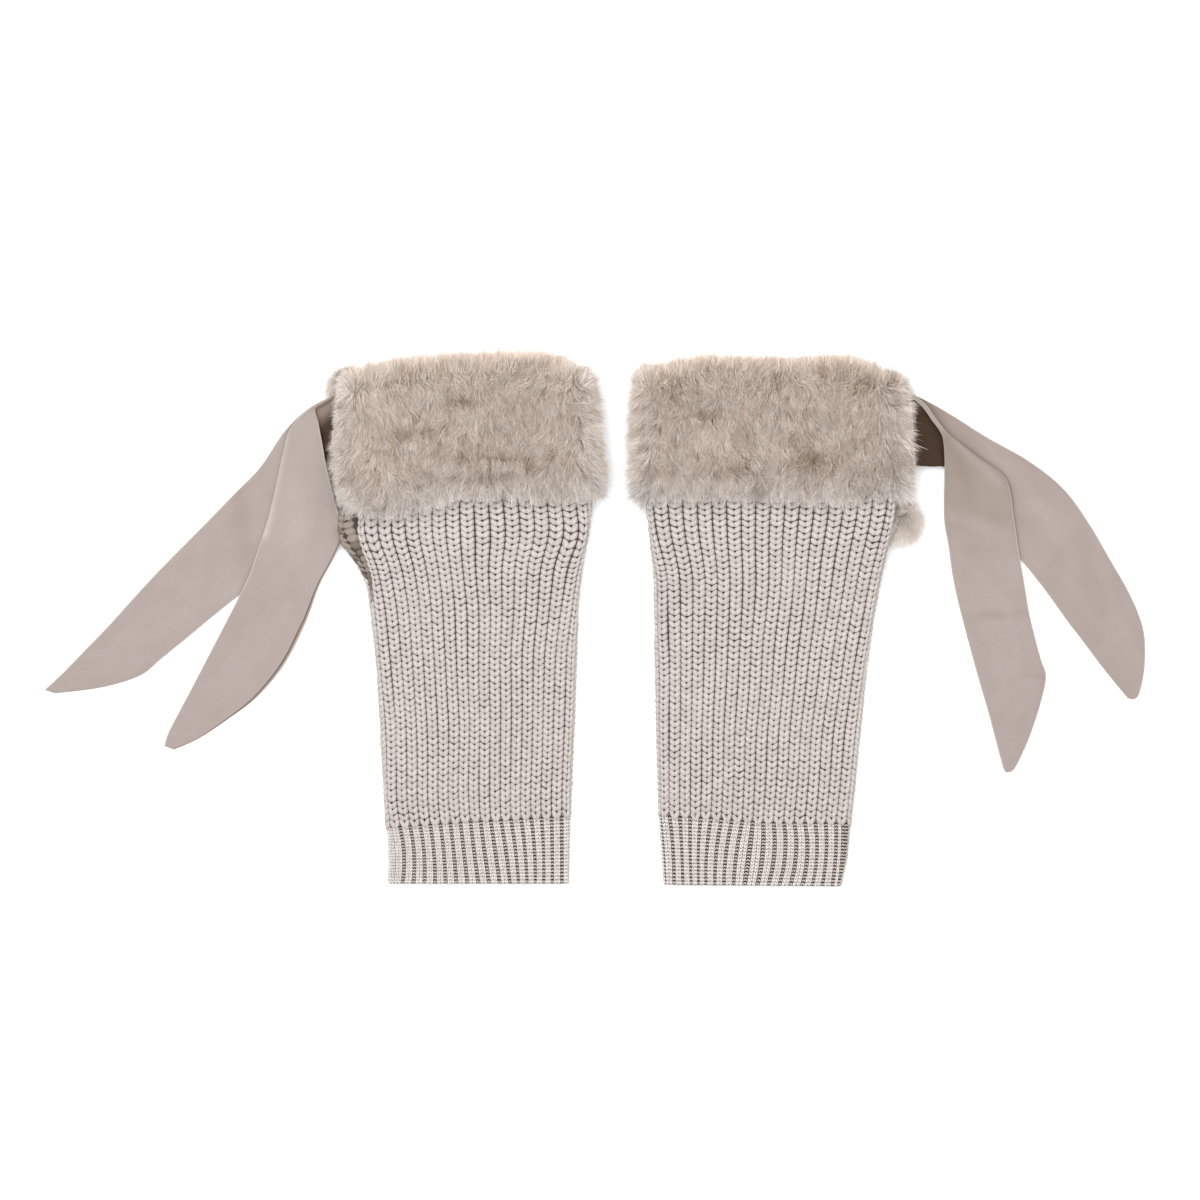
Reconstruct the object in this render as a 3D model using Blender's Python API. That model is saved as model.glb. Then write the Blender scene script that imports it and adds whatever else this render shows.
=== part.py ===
"""A pair of knitted leg warmers with turned-down fur cuffs, satin ribbon tails and pompoms, laid flat.

Frame: +X to the right leg warmer, +Y to the open tops, +Z up. The pair lies on the surface at z = 0, with the
origin under its middle.
All sizes below are in millimetres and are scaled to metres when a mesh is made.
"""

import math
from collections import namedtuple

import bmesh
import bpy
import numpy as np
from mathutils import Vector
from mathutils.bvhtree import BVHTree

METRE = 0.001
GAP = 0.3

# Cloth thicknesses.
KNIT_WALL = 4.0
RIB_WALL = 2.6
SLIT = 1.2
SATIN = 1.6
CUFF_THICK = 30.0
# The pile under the cuff is crushed to this.
BACK_PILE = 8.0
# The cuff stays this far off the knit that it is folded over.
CUFF_EASE = 0.5

# The tube rises from the surface onto the crushed pile of its cuff between these two heights of the leg.
RISE_FROM = -8.0
RISE_TO = 62.0

# A pompom lies under the corner of each cuff and raises the cloth over it by LIFT.
POMPOM_RADIUS = 17.0
POMPOM_THICK = 19.0
POMPOM_SIDES = 20
POMPOM_RINGS = 12
LIFT = 8.0
LIFT_SPREAD = 20.0
ROOF_REACH = 2.0

# Steps round a flattened tube: along each face, and round each turned edge.
FACE_STEPS = 8
EDGE_STEPS = 4
LEG_ROWS = 16
RIB_ROWS = 4
# Steps across a ribbon, and sections along it for each row of its table.
RIBBON_STEPS = 6
RIBBON_SUBROWS = 2

COLOURS = {
    "knit": ((0.68, 0.61, 0.57), 0.9),
    "fur": ((0.62, 0.51, 0.41), 0.95),
    "satin": ((0.46, 0.39, 0.36), 0.55),
}

# Sides of a flattened piece: at height y, the x of its left and right edges.
Side = namedtuple("Side", "y left right")
# An edge that runs across a piece: at share s of the width, its height y.
Across = namedtuple("Across", "s y")
# A ribbon section: edges a and b, with its underside's height at each, the arch between and the thickness.
Strip = namedtuple("Strip", "ax ay az bx by bz arch thick")

LEG_SIDES = {
    "left": [
        Side(158, -160, -7),
        Side(115, -163, -4),
        Side(72, -162.5, -0.7),
        Side(50, -163.5, -4.3),
        Side(40, -159, -6.3),
        Side(24, -151.5, -8.8),
        Side(4, -147.2, -10.4),
        Side(-30, -143.3, -11.2),
        Side(-80, -140.5, -13.3),
        Side(-138, -137.3, -15.6),
    ],
    "right": [
        Side(158, 36, 195),
        Side(115, 34, 197),
        Side(72, 32.7, 197),
        Side(50, 35.2, 192.8),
        Side(30, 37.5, 188.2),
        Side(5, 38, 183.6),
        Side(-30, 38.6, 178.6),
        Side(-80, 40.4, 173.2),
        Side(-134, 42.6, 167.2),
    ],
}

RIB_SIDES = {
    "left": [Side(-128, -137, -15.4), Side(-155, -135.6, -16), Side(-174, -136, -16.4)],
    "right": [Side(-127, 42.6, 167), Side(-155, 43.6, 163.6), Side(-175.5, 44.5, 159)],
}

SEAM = {
    "left": [Across(0, -137), Across(1, -129)],
    "right": [Across(0, -128.7), Across(0.3, -130.5), Across(0.55, -133.5), Across(1, -134)],
}

HEM = {
    "left": [Across(0, -173.6), Across(1, -173.6)],
    "right": [Across(0, -174.3), Across(1, -175.4)],
}

CUFF_SIDES = {
    "left": [
        Side(175, -163, -7),
        Side(161, -167.5, -0.6),
        Side(147, -168.7, 3.4),
        Side(128, -170.3, 5),
        Side(107, -174.4, 7.2),
        Side(82, -170, 9.8),
        Side(70, -168.4, 7.5),
        Side(60, -166.4, 6),
    ],
    "right": [
        Side(173, 30, 198),
        Side(163, 23.5, 203),
        Side(152, 19, 206.5),
        Side(138, 19.5, 206.7),
        Side(119, 20.3, 208),
        Side(100, 21.3, 208.7),
        Side(82, 22.4, 210),
        Side(72, 26, 205),
    ],
}

CUFF_TOP = {
    "left": [Across(0, 165), Across(0.2, 171.5), Across(0.5, 174.3), Across(0.8, 175.6), Across(1, 169)],
    "right": [Across(0, 168), Across(0.2, 173), Across(0.5, 171), Across(0.85, 172.4), Across(1, 163)],
}

CUFF_BOTTOM = {
    "left": [
        Across(0, 67),
        Across(0.05, 62.5),
        Across(0.1, 61.8),
        Across(0.25, 66.5),
        Across(0.42, 74.5),
        Across(1, 74.5),
    ],
    "right": [Across(0, 74), Across(0.25, 75), Across(0.5, 73.6), Across(0.75, 72.3), Across(1, 74.5)],
}

LEG_TOP = 160.0

# The cuff's section, from its hem up the outside, over the fold, into the opening and down the inside: how far
# out through the pile the point lies, the edge that it is measured from and how far above that edge it is.
Turn = namedtuple("Turn", "grow edge up")

CUFF_SECTION = [
    Turn(0, "bottom", 5),
    Turn(0.3, "bottom", 1),
    Turn(0.65, "bottom", 0),
    Turn(0.9, "bottom", 3),
    Turn(1, "bottom", 10),
    Turn(1, "bottom", 30),
    Turn(1, "middle", 0),
    Turn(1, "top", -26),
    Turn(0.97, "top", -13),
    Turn(0.75, "top", -4),
    Turn(0.4, "top", 0),
    Turn(-0.5, "top", -0.5),
    Turn(-1, "knit", 2),
    Turn(-1, "knit", GAP),
    Turn(0, "knit", GAP),
    Turn(0, "top", -26),
    Turn(0, "middle", 0),
    Turn(0, "bottom", 30),
]

POMPOMS = {"left": (-161.0, 152.5), "right": (199.5, 64.4)}

RIBBONS = {
    "left_ribbon_back": [
        Strip(-165.9, 146.5, 12, -174.9, 104, 11, 0, SATIN),
        Strip(-184, 139, 8, -179, 90, 7.5, 0, SATIN),
        Strip(-202, 123.5, 3, -185, 77, 3, 0, SATIN),
        Strip(-219, 99, 0.4, -193, 62, 0.4, 0, SATIN),
        Strip(-236, 81.5, 0, -204, 46, 0, 0, SATIN),
        Strip(-250, 67, 0, -215.6, 30, 0, 0, SATIN),
        Strip(-288.4, 28, 0, -255, -3, 0, 0, SATIN),
        Strip(-318, -4.5, 0, -283, -26, 0, 0, SATIN),
        Strip(-333, -20, 0, -297.5, -37.4, 0, 0, SATIN),
        Strip(-347, -34.5, 0, -322, -45, 0, 0, SATIN),
        Strip(-359.9, -46.6, 0, -353, -49, 0, 0, SATIN),
    ],
    "left_ribbon_front": [
        Strip(-169.9, 145, 15, -170.2, 139, 15, 0, 3),
        Strip(-182, 139.5, 13, -180.5, 133.5, 13, 0, 2.6),
        Strip(-195, 130, 10, -178.5, 121, 13.5, 1, 2),
        Strip(-203, 116, 7.4, -175.8, 103, 13.6, 1, SATIN),
        Strip(-206.5, 98, 5.2, -171.8, 82, 11, 0.5, SATIN),
        Strip(-210.5, 78, 3.2, -166.8, 60.5, 8, 0, SATIN),
        Strip(-217, 54, 2.6, -170.5, 42, 4, 0, SATIN),
        Strip(-226, 28.5, 2.5, -180, 22, 1.5, 0, SATIN),
        Strip(-237, 6, 1.9, -189.4, -3.5, 0.3, 0, SATIN),
        Strip(-249, -17, 0, -203, -30, 0, 0, SATIN),
        Strip(-262, -42, 0, -221, -51.5, 0, 0, SATIN),
        Strip(-272, -61, 0, -240, -66, 0, 0, SATIN),
        Strip(-279, -74.5, 0, -259, -78.5, 0, 0, SATIN),
        Strip(-281.8, -83.4, 0, -275.5, -85.8, 0, 0, SATIN),
    ],
    "right_ribbon_back": [
        Strip(206.2, 146.5, 12, 209.4, 100, 12, 0, SATIN),
        Strip(217, 141.8, 8, 219, 99, 8, 0, SATIN),
        Strip(233, 133, 3.5, 230, 95, 3.5, 0, SATIN),
        Strip(256.4, 118.5, 0.6, 240, 79, 0.6, 0, SATIN),
        Strip(283, 103.5, 0, 256, 62, 0, 0, SATIN),
        Strip(305.4, 86, 0, 270, 47.5, 0, 0, SATIN),
        Strip(322, 64, 0, 282, 34, 0, 0, SATIN),
        Strip(337, 38.5, 0, 295, 17.5, 0, 0, SATIN),
        Strip(350, 15.5, 0, 308.7, -1.6, 0, 0, SATIN),
        Strip(358.6, -7, 0, 319, -15, 0, 0, SATIN),
        Strip(359.6, -30, 0, 331, -31, 0, 0, SATIN),
        Strip(356.2, -48.5, 0, 344, -47, 0, 0, SATIN),
        Strip(352.6, -53, 0, 348.4, -52.2, 0, 0, SATIN),
    ],
    "right_ribbon_front": [
        Strip(208, 139.5, 14.4, 207.2, 144.5, 14.4, 0, 3),
        Strip(214, 139, 13.6, 217, 141, 13.6, 0, 3),
        Strip(221.5, 127.5, 12.5, 226, 129, 12.5, 0, 2.6),
        Strip(226.5, 119, 11, 235, 119, 11, 0.5, 2.2),
        Strip(228.2, 106, 8.6, 252, 105, 8, 1.5, 1.8),
        Strip(228.2, 93, 6.6, 268.6, 91, 5, 1.5, SATIN),
        Strip(228.2, 65, 3, 274, 65, 2.6, 0.6, SATIN),
        Strip(231, 48, 1, 277, 44, 2.4, 0, SATIN),
        Strip(234, 26, 0, 280.6, 24, 1, 0, SATIN),
        Strip(239.5, 2, 0, 284.6, 1, 0, 0, SATIN),
        Strip(247.5, -28, 0, 291.5, -26, 0, 0, SATIN),
        Strip(252, -44, 0, 295, -38, 0, 0, SATIN),
        Strip(257, -61, 0, 291, -57, 0, 0, SATIN),
        Strip(262, -80, 0, 284, -78, 0, 0, SATIN),
        Strip(266.8, -97.5, 0, 276, -95.5, 0, 0, SATIN),
        Strip(269, -100.8, 0, 272.6, -100, 0, 0, SATIN),
    ],
}


def clear_scene():
    for thing in list(bpy.data.objects):
        bpy.data.objects.remove(thing, do_unlink=True)


def material(name, kind):
    colour, roughness = COLOURS[kind]
    made = bpy.data.materials.new(name)
    made.use_nodes = True
    shader = made.node_tree.nodes["Principled BSDF"]
    shader.inputs["Base Color"].default_value = (*colour, 1.0)
    shader.inputs["Roughness"].default_value = roughness
    shader.inputs["Metallic"].default_value = 0.0
    return made


def add_object(name, points, faces, kind):
    """Makes one named solid from points in millimetres, with its faces turned outwards."""
    mesh = bpy.data.meshes.new(name)
    mesh.from_pydata([Vector(p) * METRE for p in points], [], faces)
    shape = bmesh.new()
    shape.from_mesh(mesh)
    bmesh.ops.recalc_face_normals(shape, faces=shape.faces)
    shape.to_mesh(mesh)
    shape.free()
    mesh.shade_smooth()
    mesh.set_sharp_from_angle(angle=math.radians(40))
    made = bpy.data.objects.new(name, mesh)
    made.data.materials.append(material(name, kind))
    bpy.context.collection.objects.link(made)
    return made


def smooth_step(value, start, end):
    share = min(max((value - start) / (end - start), 0.0), 1.0)
    return share * share * (3.0 - 2.0 * share)


def curve_through(rows, share):
    """A Catmull-Rom curve through the rows of a table, at a share from 0 to 1 of their count."""
    table = np.array(rows, float)
    place = share * (len(table) - 1)
    first = min(int(place), len(table) - 2)
    t = place - first
    before = table[max(first - 1, 0)]
    start, end = table[first], table[first + 1]
    after = table[min(first + 2, len(table) - 1)]
    return 0.5 * (
        2.0 * start
        + (end - before) * t
        + (2.0 * before - 5.0 * start + 4.0 * end - after) * t * t
        + (3.0 * start - before - 3.0 * end + after) * t * t * t
    )


def edges_at(sides, y):
    """The left and right edges of a piece at height y."""
    rows = sorted(sides)
    heights = [row.y for row in rows]
    left = np.interp(y, heights, [row.left for row in rows])
    right = np.interp(y, heights, [row.right for row in rows])
    return left, right


def height_at(edge, share):
    return np.interp(share, [row.s for row in edge], [row.y for row in edge])


def lift(side, x, y):
    """How far the cloth is raised over the pompom that lies under it."""
    px, py = POMPOMS[side]
    far = (x - px) ** 2 + (y - py) ** 2
    return LIFT * math.exp(-far / (2.0 * LIFT_SPREAD**2))


def stations():
    """Steps round a flattened tube: share of the width, and direction out of its turned edge."""
    found = []
    for step in range(FACE_STEPS):
        found.append((step / FACE_STEPS, math.pi / 2))
    for step in range(EDGE_STEPS):
        found.append((1.0, math.pi / 2 - math.pi * step / EDGE_STEPS))
    for step in range(FACE_STEPS):
        found.append((1.0 - step / FACE_STEPS, -math.pi / 2))
    for step in range(EDGE_STEPS):
        found.append((0.0, -math.pi / 2 - math.pi * step / EDGE_STEPS))
    return found


def ring(side, span, heights):
    """One ring of points. span(y) gives left, right, low and high, and heights(share) the y across the width."""
    points = []
    for share, angle in stations():
        y = heights(share)
        left, right, low, high = span(y)
        half = (high - low) / 2.0
        x = left + half + share * (right - left - 2.0 * half) + half * math.cos(angle)
        z = (low + high) / 2.0 + half * math.sin(angle) + lift(side, x, y)
        points.append((x, y, z))
    return points


def hoop(name, rings, kind):
    """A solid whose section is the closed chain of rings."""
    count = len(rings[0])
    points = [point for one in rings for point in one]
    faces = []
    for row in range(len(rings)):
        after = (row + 1) % len(rings)
        for step in range(count):
            turn = (step + 1) % count
            faces.append((row * count + step, row * count + turn, after * count + turn, after * count + step))
    return add_object(name, points, faces, kind)


def leg_span(side, shrink):
    """Outer form of the knitted tube, drawn in by shrink millimetres."""
    thick = 2.0 * KNIT_WALL + SLIT

    def span(y):
        left, right = edges_at(LEG_SIDES[side], y)
        low = (BACK_PILE + GAP) * smooth_step(y, RISE_FROM, RISE_TO)
        return left + shrink, right - shrink, low + shrink, low + thick - shrink

    return span


def rib_span(side, shrink):
    thick = 2.0 * RIB_WALL + SLIT

    def span(y):
        left, right = edges_at(RIB_SIDES[side], y)
        return left + shrink, right - shrink, shrink, thick - shrink

    return span


def cuff_span(side, grow):
    """From the opening's slit, at grow -1, over the knit's surface, at 0, to the reach of the pile, at 1."""
    surface = leg_span(side, -CUFF_EASE)
    slit = leg_span(side, KNIT_WALL)

    def reach(y):
        left, right = edges_at(CUFF_SIDES[side], y)
        return left, right, 0.0, CUFF_THICK

    far = reach if grow > 0.0 else slit

    def span(y):
        return tuple(near + (end - near) * abs(grow) for near, end in zip(surface(y), far(y)))

    return span


def between(lower, upper, share):
    """A row across the piece at a share of the way from its lower edge to its upper edge."""

    def heights(s):
        return lower(s) + (upper(s) - lower(s)) * share

    return heights


def add_tube(name, side, outer, inner, lower, upper, rows):
    """A flattened knitted tube, open at both ends."""
    shares = [row / rows for row in range(rows + 1)]
    rings = [ring(side, outer, between(lower, upper, share)) for share in shares]
    rings += [ring(side, inner, between(lower, upper, share)) for share in reversed(shares)]
    return hoop(name, rings, "knit")


def add_leg(side):
    seam = SEAM[side]
    return add_tube(
        f"{side}_leg",
        side,
        leg_span(side, 0.0),
        leg_span(side, KNIT_WALL),
        lambda s: height_at(seam, s) + GAP / 2.0,
        lambda s: LEG_TOP,
        LEG_ROWS,
    )


def add_rib(side):
    seam = SEAM[side]
    hem = HEM[side]
    return add_tube(
        f"{side}_ankle_rib",
        side,
        rib_span(side, 0.0),
        rib_span(side, RIB_WALL),
        lambda s: height_at(hem, s),
        lambda s: height_at(seam, s) - GAP / 2.0,
        RIB_ROWS,
    )


def add_cuff(side):
    """The fur band: its pile outside, folded over the top of the knit, with the fold's lip in the opening."""
    bottom, top = CUFF_BOTTOM[side], CUFF_TOP[side]
    edges = {
        "bottom": lambda s: height_at(bottom, s),
        "middle": lambda s: (height_at(bottom, s) + height_at(top, s)) / 2.0,
        "top": lambda s: height_at(top, s),
        "knit": lambda s: LEG_TOP,
    }
    rings = []
    for turn in CUFF_SECTION:
        edge = edges[turn.edge]
        rings.append(ring(side, cuff_span(side, turn.grow), lambda s: edge(s) + turn.up))
    return hoop(f"{side}_fur_cuff", rings, "fur")


def strip_ring(strip):
    """The section of a ribbon: its underside from edge a to edge b, and its top back again."""
    under, over = [], []
    for step in range(RIBBON_STEPS + 1):
        share = step / RIBBON_STEPS
        x = strip.ax + (strip.bx - strip.ax) * share
        y = strip.ay + (strip.by - strip.ay) * share
        z = strip.az + (strip.bz - strip.az) * share + strip.arch * 4.0 * share * (1.0 - share)
        under.append((x, y, max(z, 0.0)))
        over.append((x, y, max(z, 0.0) + strip.thick))
    return under + list(reversed(over))


def add_ribbon(name, rows):
    steps = RIBBON_SUBROWS * (len(rows) - 1)
    strips = [Strip(*curve_through(rows, step / steps)) for step in range(steps + 1)]
    rings = [strip_ring(strip) for strip in strips]
    count = len(rings[0])
    points = [point for one in rings for point in one]
    faces = [tuple(range(count)), tuple(range(len(points) - 1, len(points) - count - 1, -1))]
    for row in range(len(rings) - 1):
        for step in range(count):
            turn = (step + 1) % count
            low, high = row * count, (row + 1) * count
            faces.append((low + step, high + step, high + turn, low + turn))
    return add_object(name, points, faces, "satin")


def surface_tree(thing):
    mesh = thing.data
    return BVHTree.FromPolygons([v.co for v in mesh.vertices], [face.vertices for face in mesh.polygons])


def roof_over(trees, x, y):
    """The lowest point of the cloth above a small patch round x, y."""
    lowest = POMPOM_THICK + GAP
    for dx, dy in ((0, 0), (ROOF_REACH, 0), (-ROOF_REACH, 0), (0, ROOF_REACH), (0, -ROOF_REACH)):
        below = Vector(((x + dx) * METRE, (y + dy) * METRE, -1.0))
        for tree in trees:
            hit = tree.ray_cast(below, Vector((0.0, 0.0, 1.0)))[0]
            if hit is not None:
                lowest = min(lowest, hit.z / METRE)
    return lowest


def add_pompom(side, above):
    """A fluffy ball, pressed flat on the surface and under the cloth that lies on it."""
    px, py = POMPOMS[side]
    trees = [surface_tree(thing) for thing in above]
    ball = bmesh.new()
    bmesh.ops.create_uvsphere(ball, u_segments=POMPOM_SIDES, v_segments=POMPOM_RINGS, radius=1.0)
    points = []
    for vertex in ball.verts:
        x = px + vertex.co.x * POMPOM_RADIUS
        y = py + vertex.co.y * POMPOM_RADIUS
        z = POMPOM_THICK / 2.0 * (1.0 + vertex.co.z)
        ceiling = roof_over(trees, x, y) - GAP
        points.append((x, y, z * min(1.0, ceiling / POMPOM_THICK)))
    faces = [tuple(v.index for v in face.verts) for face in ball.faces]
    ball.free()
    return add_object(f"{side}_pompom", points, faces, "fur")


def build():
    clear_scene()
    for side in ("left", "right"):
        leg = add_leg(side)
        add_rib(side)
        cuff = add_cuff(side)
        back = add_ribbon(f"{side}_ribbon_back", RIBBONS[f"{side}_ribbon_back"])
        front = add_ribbon(f"{side}_ribbon_front", RIBBONS[f"{side}_ribbon_front"])
        add_pompom(side, [leg, cuff, back, front])


build()
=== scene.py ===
"""The look of two knitted leg warmers, laid flat, with fur cuffs, satin ribbon tails and pompoms.

Frame: +X to the right leg warmer, +Y to the open tops, +Z up, with the surface that they lie on at z = 0.
Sizes are in millimetres and are scaled to metres when a mesh is made.
"""

import math
from collections import namedtuple
from functools import partial

import bmesh
import bpy
import numpy as np
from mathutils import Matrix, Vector
from mathutils.kdtree import KDTree


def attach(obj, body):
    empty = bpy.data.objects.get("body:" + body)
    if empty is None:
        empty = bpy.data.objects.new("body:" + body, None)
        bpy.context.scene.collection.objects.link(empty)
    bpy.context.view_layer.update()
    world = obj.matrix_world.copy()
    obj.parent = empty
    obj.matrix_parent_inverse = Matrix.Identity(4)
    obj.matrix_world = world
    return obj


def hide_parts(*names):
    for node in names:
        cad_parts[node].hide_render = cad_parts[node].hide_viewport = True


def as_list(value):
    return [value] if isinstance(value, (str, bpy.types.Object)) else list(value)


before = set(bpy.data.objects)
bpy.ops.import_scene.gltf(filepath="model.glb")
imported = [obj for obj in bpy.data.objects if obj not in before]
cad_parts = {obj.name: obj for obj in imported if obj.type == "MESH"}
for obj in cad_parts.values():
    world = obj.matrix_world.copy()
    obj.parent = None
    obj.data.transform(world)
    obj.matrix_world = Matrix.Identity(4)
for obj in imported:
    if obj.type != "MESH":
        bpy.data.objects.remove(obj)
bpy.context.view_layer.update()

METRE = 0.001
BODY = "root"
SIDES = ("left", "right")


def rows_of(kind, *rows):
    """A table: a list of named tuples of one kind."""
    return [kind(*row) for row in rows]


# --- The part's own sizes, as its CAD model has them ---

GAP = 0.3
KNIT_WALL = 4.0
RIB_WALL = 2.6
# The opening between the two walls of a flattened tube.
SLIT = 1.2
CUFF_THICK = 30.0
# The pile under the leg, on which it rises between these heights.
BACK_PILE = 8.0
RISE_FROM = -8.0
RISE_TO = 62.0
LEG_TOP = 160.0
# The mean heights of the seam between leg and ankle, and of the ankle's hem.
SEAM_HEIGHT = -132.0
HEM_HEIGHT = -174.0
# How high a pompom lifts the cloth over it, and how far round it.
LIFT = 8.0
LIFT_SPREAD = 20.0
SATIN = 1.2

# Sides of a flattened piece: at height y, the x of its left and right edges.
Side = namedtuple("Side", "y left right")
# An edge that runs across a piece: at share s of the width, its height y.
Across = namedtuple("Across", "s y")

LEG_SIDES = {
    "left": rows_of(
        Side, (158, -160, -7), (115, -163, -4), (72, -162.5, -0.7), (50, -163.5, -4.3), (40, -159, -6.3),
        (24, -151.5, -8.8), (4, -147.2, -10.4), (-30, -143.3, -11.2), (-80, -140.5, -13.3),
        (-138, -137.3, -15.6),
    ),
    "right": rows_of(
        Side, (158, 36, 195), (115, 34, 197), (72, 32.7, 197), (50, 35.2, 192.8), (30, 37.5, 188.2),
        (5, 38, 183.6), (-30, 38.6, 178.6), (-80, 39.4, 173.4), (-134, 41, 168),
    ),
}

RIB_SIDES = {
    "left": rows_of(Side, (-128, -137, -15.4), (-155, -135.6, -16), (-174, -136, -16.4)),
    "right": rows_of(Side, (-127, 41, 168), (-155, 43, 165.6), (-175.5, 44.5, 161.4)),
}

SEAM = {
    "left": rows_of(Across, (0, -137), (1, -129)),
    "right": rows_of(Across, (0, -128.7), (0.3, -130.5), (0.55, -133.5), (1, -134)),
}

HEM = {
    "left": rows_of(Across, (0, -173.6), (1, -173.6)),
    "right": rows_of(Across, (0, -174.3), (1, -175.4)),
}

CUFF_SIDES = {
    "left": rows_of(
        Side, (175, -163, -7), (161, -167.5, -0.6), (147, -168.7, 3.4), (128, -170.3, 5),
        (107, -174.4, 7.2), (82, -170, 9.8), (70, -168.4, 7.5), (60, -166.4, 6),
    ),
    "right": rows_of(
        Side, (173, 30, 198), (163, 23.5, 203), (152, 19, 206.5), (138, 19.5, 206.7), (119, 20.3, 208),
        (100, 21.3, 208.7), (82, 22.4, 210), (72, 26, 205),
    ),
}

CUFF_TOP = {
    "left": rows_of(Across, (0, 164), (0.2, 171.5), (0.5, 174.3), (0.8, 175), (0.93, 172), (1, 166)),
    "right": rows_of(Across, (0, 166.5), (0.2, 173), (0.5, 171), (0.85, 172.4), (1, 163)),
}

CUFF_BOTTOM = {
    "left": rows_of(Across, (0, 67), (0.05, 62.5), (0.1, 61.8), (0.25, 66.5), (0.42, 74.5), (1, 74.5)),
    "right": rows_of(Across, (0, 74), (0.25, 75), (0.5, 73.6), (0.75, 72.3), (1, 74.5)),
}

# The middle of each pompom.
POMPOMS = {"left": (-161.0, 152.5), "right": (199.5, 64.4)}

# --- Knit ---

# A wale is one column of stitches. At height y, the grooves before the first and after the last of the
# wales that are counted on the front; the others go on round the turned edges and the back.
Grooves = namedtuple("Grooves", "y first last")
WALES_ROUND = 38
WALES_FRONT = {"left": 15, "right": 16}
LEG_GROOVES = {
    "left": rows_of(
        Grooves, (90, -148.5, -15), (74, -149.5, -12), (54.6, -150.7, -9.5), (33, -141.3, -18),
        (9.2, -137.5, -22), (-23.2, -134, -25.8), (-67, -130.1, -27), (-117.4, -129.6, -28.5),
        (-138, -126.9, -28.3),
    ),
    "right": rows_of(
        Grooves, (90, 37.5, 191), (74, 38, 190.5), (57.4, 39.9, 187.2), (29.2, 47, 180.4),
        (-27.1, 48.6, 170), (-77.2, 48.5, 162.6), (-117.3, 48.5, 159.6), (-134, 48.7, 157.3),
    ),
}

# How far the ribs of the ankle sway from straight lines, at share s of the counted wales, halfway down and
# at the hem.
Sway = namedtuple("Sway", "s middle hem")
RIB_SWAY = {
    "left": rows_of(
        Sway, (0, 2.6, 1.3), (0.13, 2.6, 2.6), (0.33, 2.2, 3.9), (0.53, 2.6, 5.7), (0.67, 3.5, 6.1),
        (0.8, 2.6, 3.9), (0.9, 1.9, 2), (1, 0.4, 0.4),
    ),
    "right": rows_of(
        Sway, (0, 2.6, 3.1), (0.12, 0, 0.9), (0.25, -3.1, -3.5), (0.37, -3.9, -5.3), (0.45, -4, -6),
        (0.5, -2.6, -5.7), (0.56, -0.4, -3.9), (0.63, 0.4, -3.6), (0.75, 0.9, -3.1), (0.82, 1.7, -1.8),
        (0.9, 0.7, -2.4), (1, -0.4, -2.6),
    ),
}
# The sway fades out over this many wales round the turned edges.
SWAY_FADE = 5.0

# How much thinner the leg's tube is at the ankle, and the heights between which it thins out.
ANKLE_THIN = 2.0
ANKLE_TAPER = (-136.0, -114.0)

# The stitches reach up to this height under the fur, and the ribs this far up under the last row of the
# leg. The points of that row hang down over the ribs, which dip under it.
STITCH_TOP = 80.0
RIB_TUCK = 2.2
LAST_ROW_HANG = 2.6
RIB_DIP = 1.1
LEG_ROWS = 54
RIB_ROWS = 20

# At one turned edge of each ankle the ribs break off: into flat knit on the left one, into purl on the
# right one. These are the fine wales and the purl ladders that are added there, or left out.
RibEdge = namedtuple("RibEdge", "more_fine no_fine more_purl no_purl")
RIB_EDGES = {
    "left": RibEdge([37.0], [], [], [37.0]),
    "right": RibEdge([], [16.665, 17.335], [16.67, 17.33], []),
}

# One arm of a stitch, a short thick stretch of yarn: rings along it and sides round it, its half height as
# a share of the row, so that the rows lie on each other, its half thickness, the half width of its wale,
# how far its two tips lie from the wale's middle as shares of that, its climb as a share of the row, and
# how deep its middle and its tips lie.
Arm = namedtuple("Arm", "rings sides tall thick half near far climb middle near_end far_end")
LEG_ARM = Arm(4, 6, 0.62, 1.33, 3.6, -0.17, 1.0, 0.59, 1.35, 2.2, 2.6)
LEG_BACK_ARM = LEG_ARM._replace(rings=3, sides=4)
RIB_ARM = Arm(3, 4, 0.58, 0.62, 1.1, -0.17, 1.03, 0.5, 0.64, 0.95, 1.0)
RIB_BACK_ARM = RIB_ARM._replace(rings=2)
PURL_ARM = Arm(2, 4, 0.31, 0.6, 1.1, -0.1, 1.0, -0.45, 0.6, 0.5, 0.6)

# Rings of an arm: how far along it, and how fat there.
Ring = namedtuple("Ring", "share fat")
RINGS = {
    2: rows_of(Ring, (0.2, 0.85), (0.8, 0.95)),
    3: rows_of(Ring, (0.1, 0.6), (0.5, 1), (0.92, 0.8)),
    4: rows_of(Ring, (0.08, 0.5), (0.33, 0.87), (0.68, 1), (0.94, 0.74)),
}

# Near its sides the cloth's rows bend down across its slanting wales, over about this width. Between these
# heights the bend sets in.
BEND_WIDTH = 14.0
BEND_HEIGHTS = (-110.0, -80.0)
# The rows just under the fur are pulled looser: their yarn is this much thinner.
SLACK = 0.04
SLACK_HEIGHTS = (22.0, 52.0)
# How unevenly it is knitted: the spread of the arms' thickness, how far they stand out and how high they
# sit.
PLUMP_SPREAD = 0.045
RAISED_SPREAD = 0.09
SLIP_SPREAD = 0.03
# Where the cloth is stretched, its stitches widen by less than it does, so that its grooves open.
STRETCH_SHARE = 0.88
# A rib is round: the grooves between ribs lie this much deeper than its middle.
RIB_CROWN = 1.6
# Each wale of the leg goes on in a rib of two fine wales, this far to each side of its middle and this
# wide, with a ladder of purl bumps in the groove beside it.
FINE_OFFSET = 0.165
FINE_WIDTH = 0.315
PURL_WIDTH = 0.34
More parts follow.
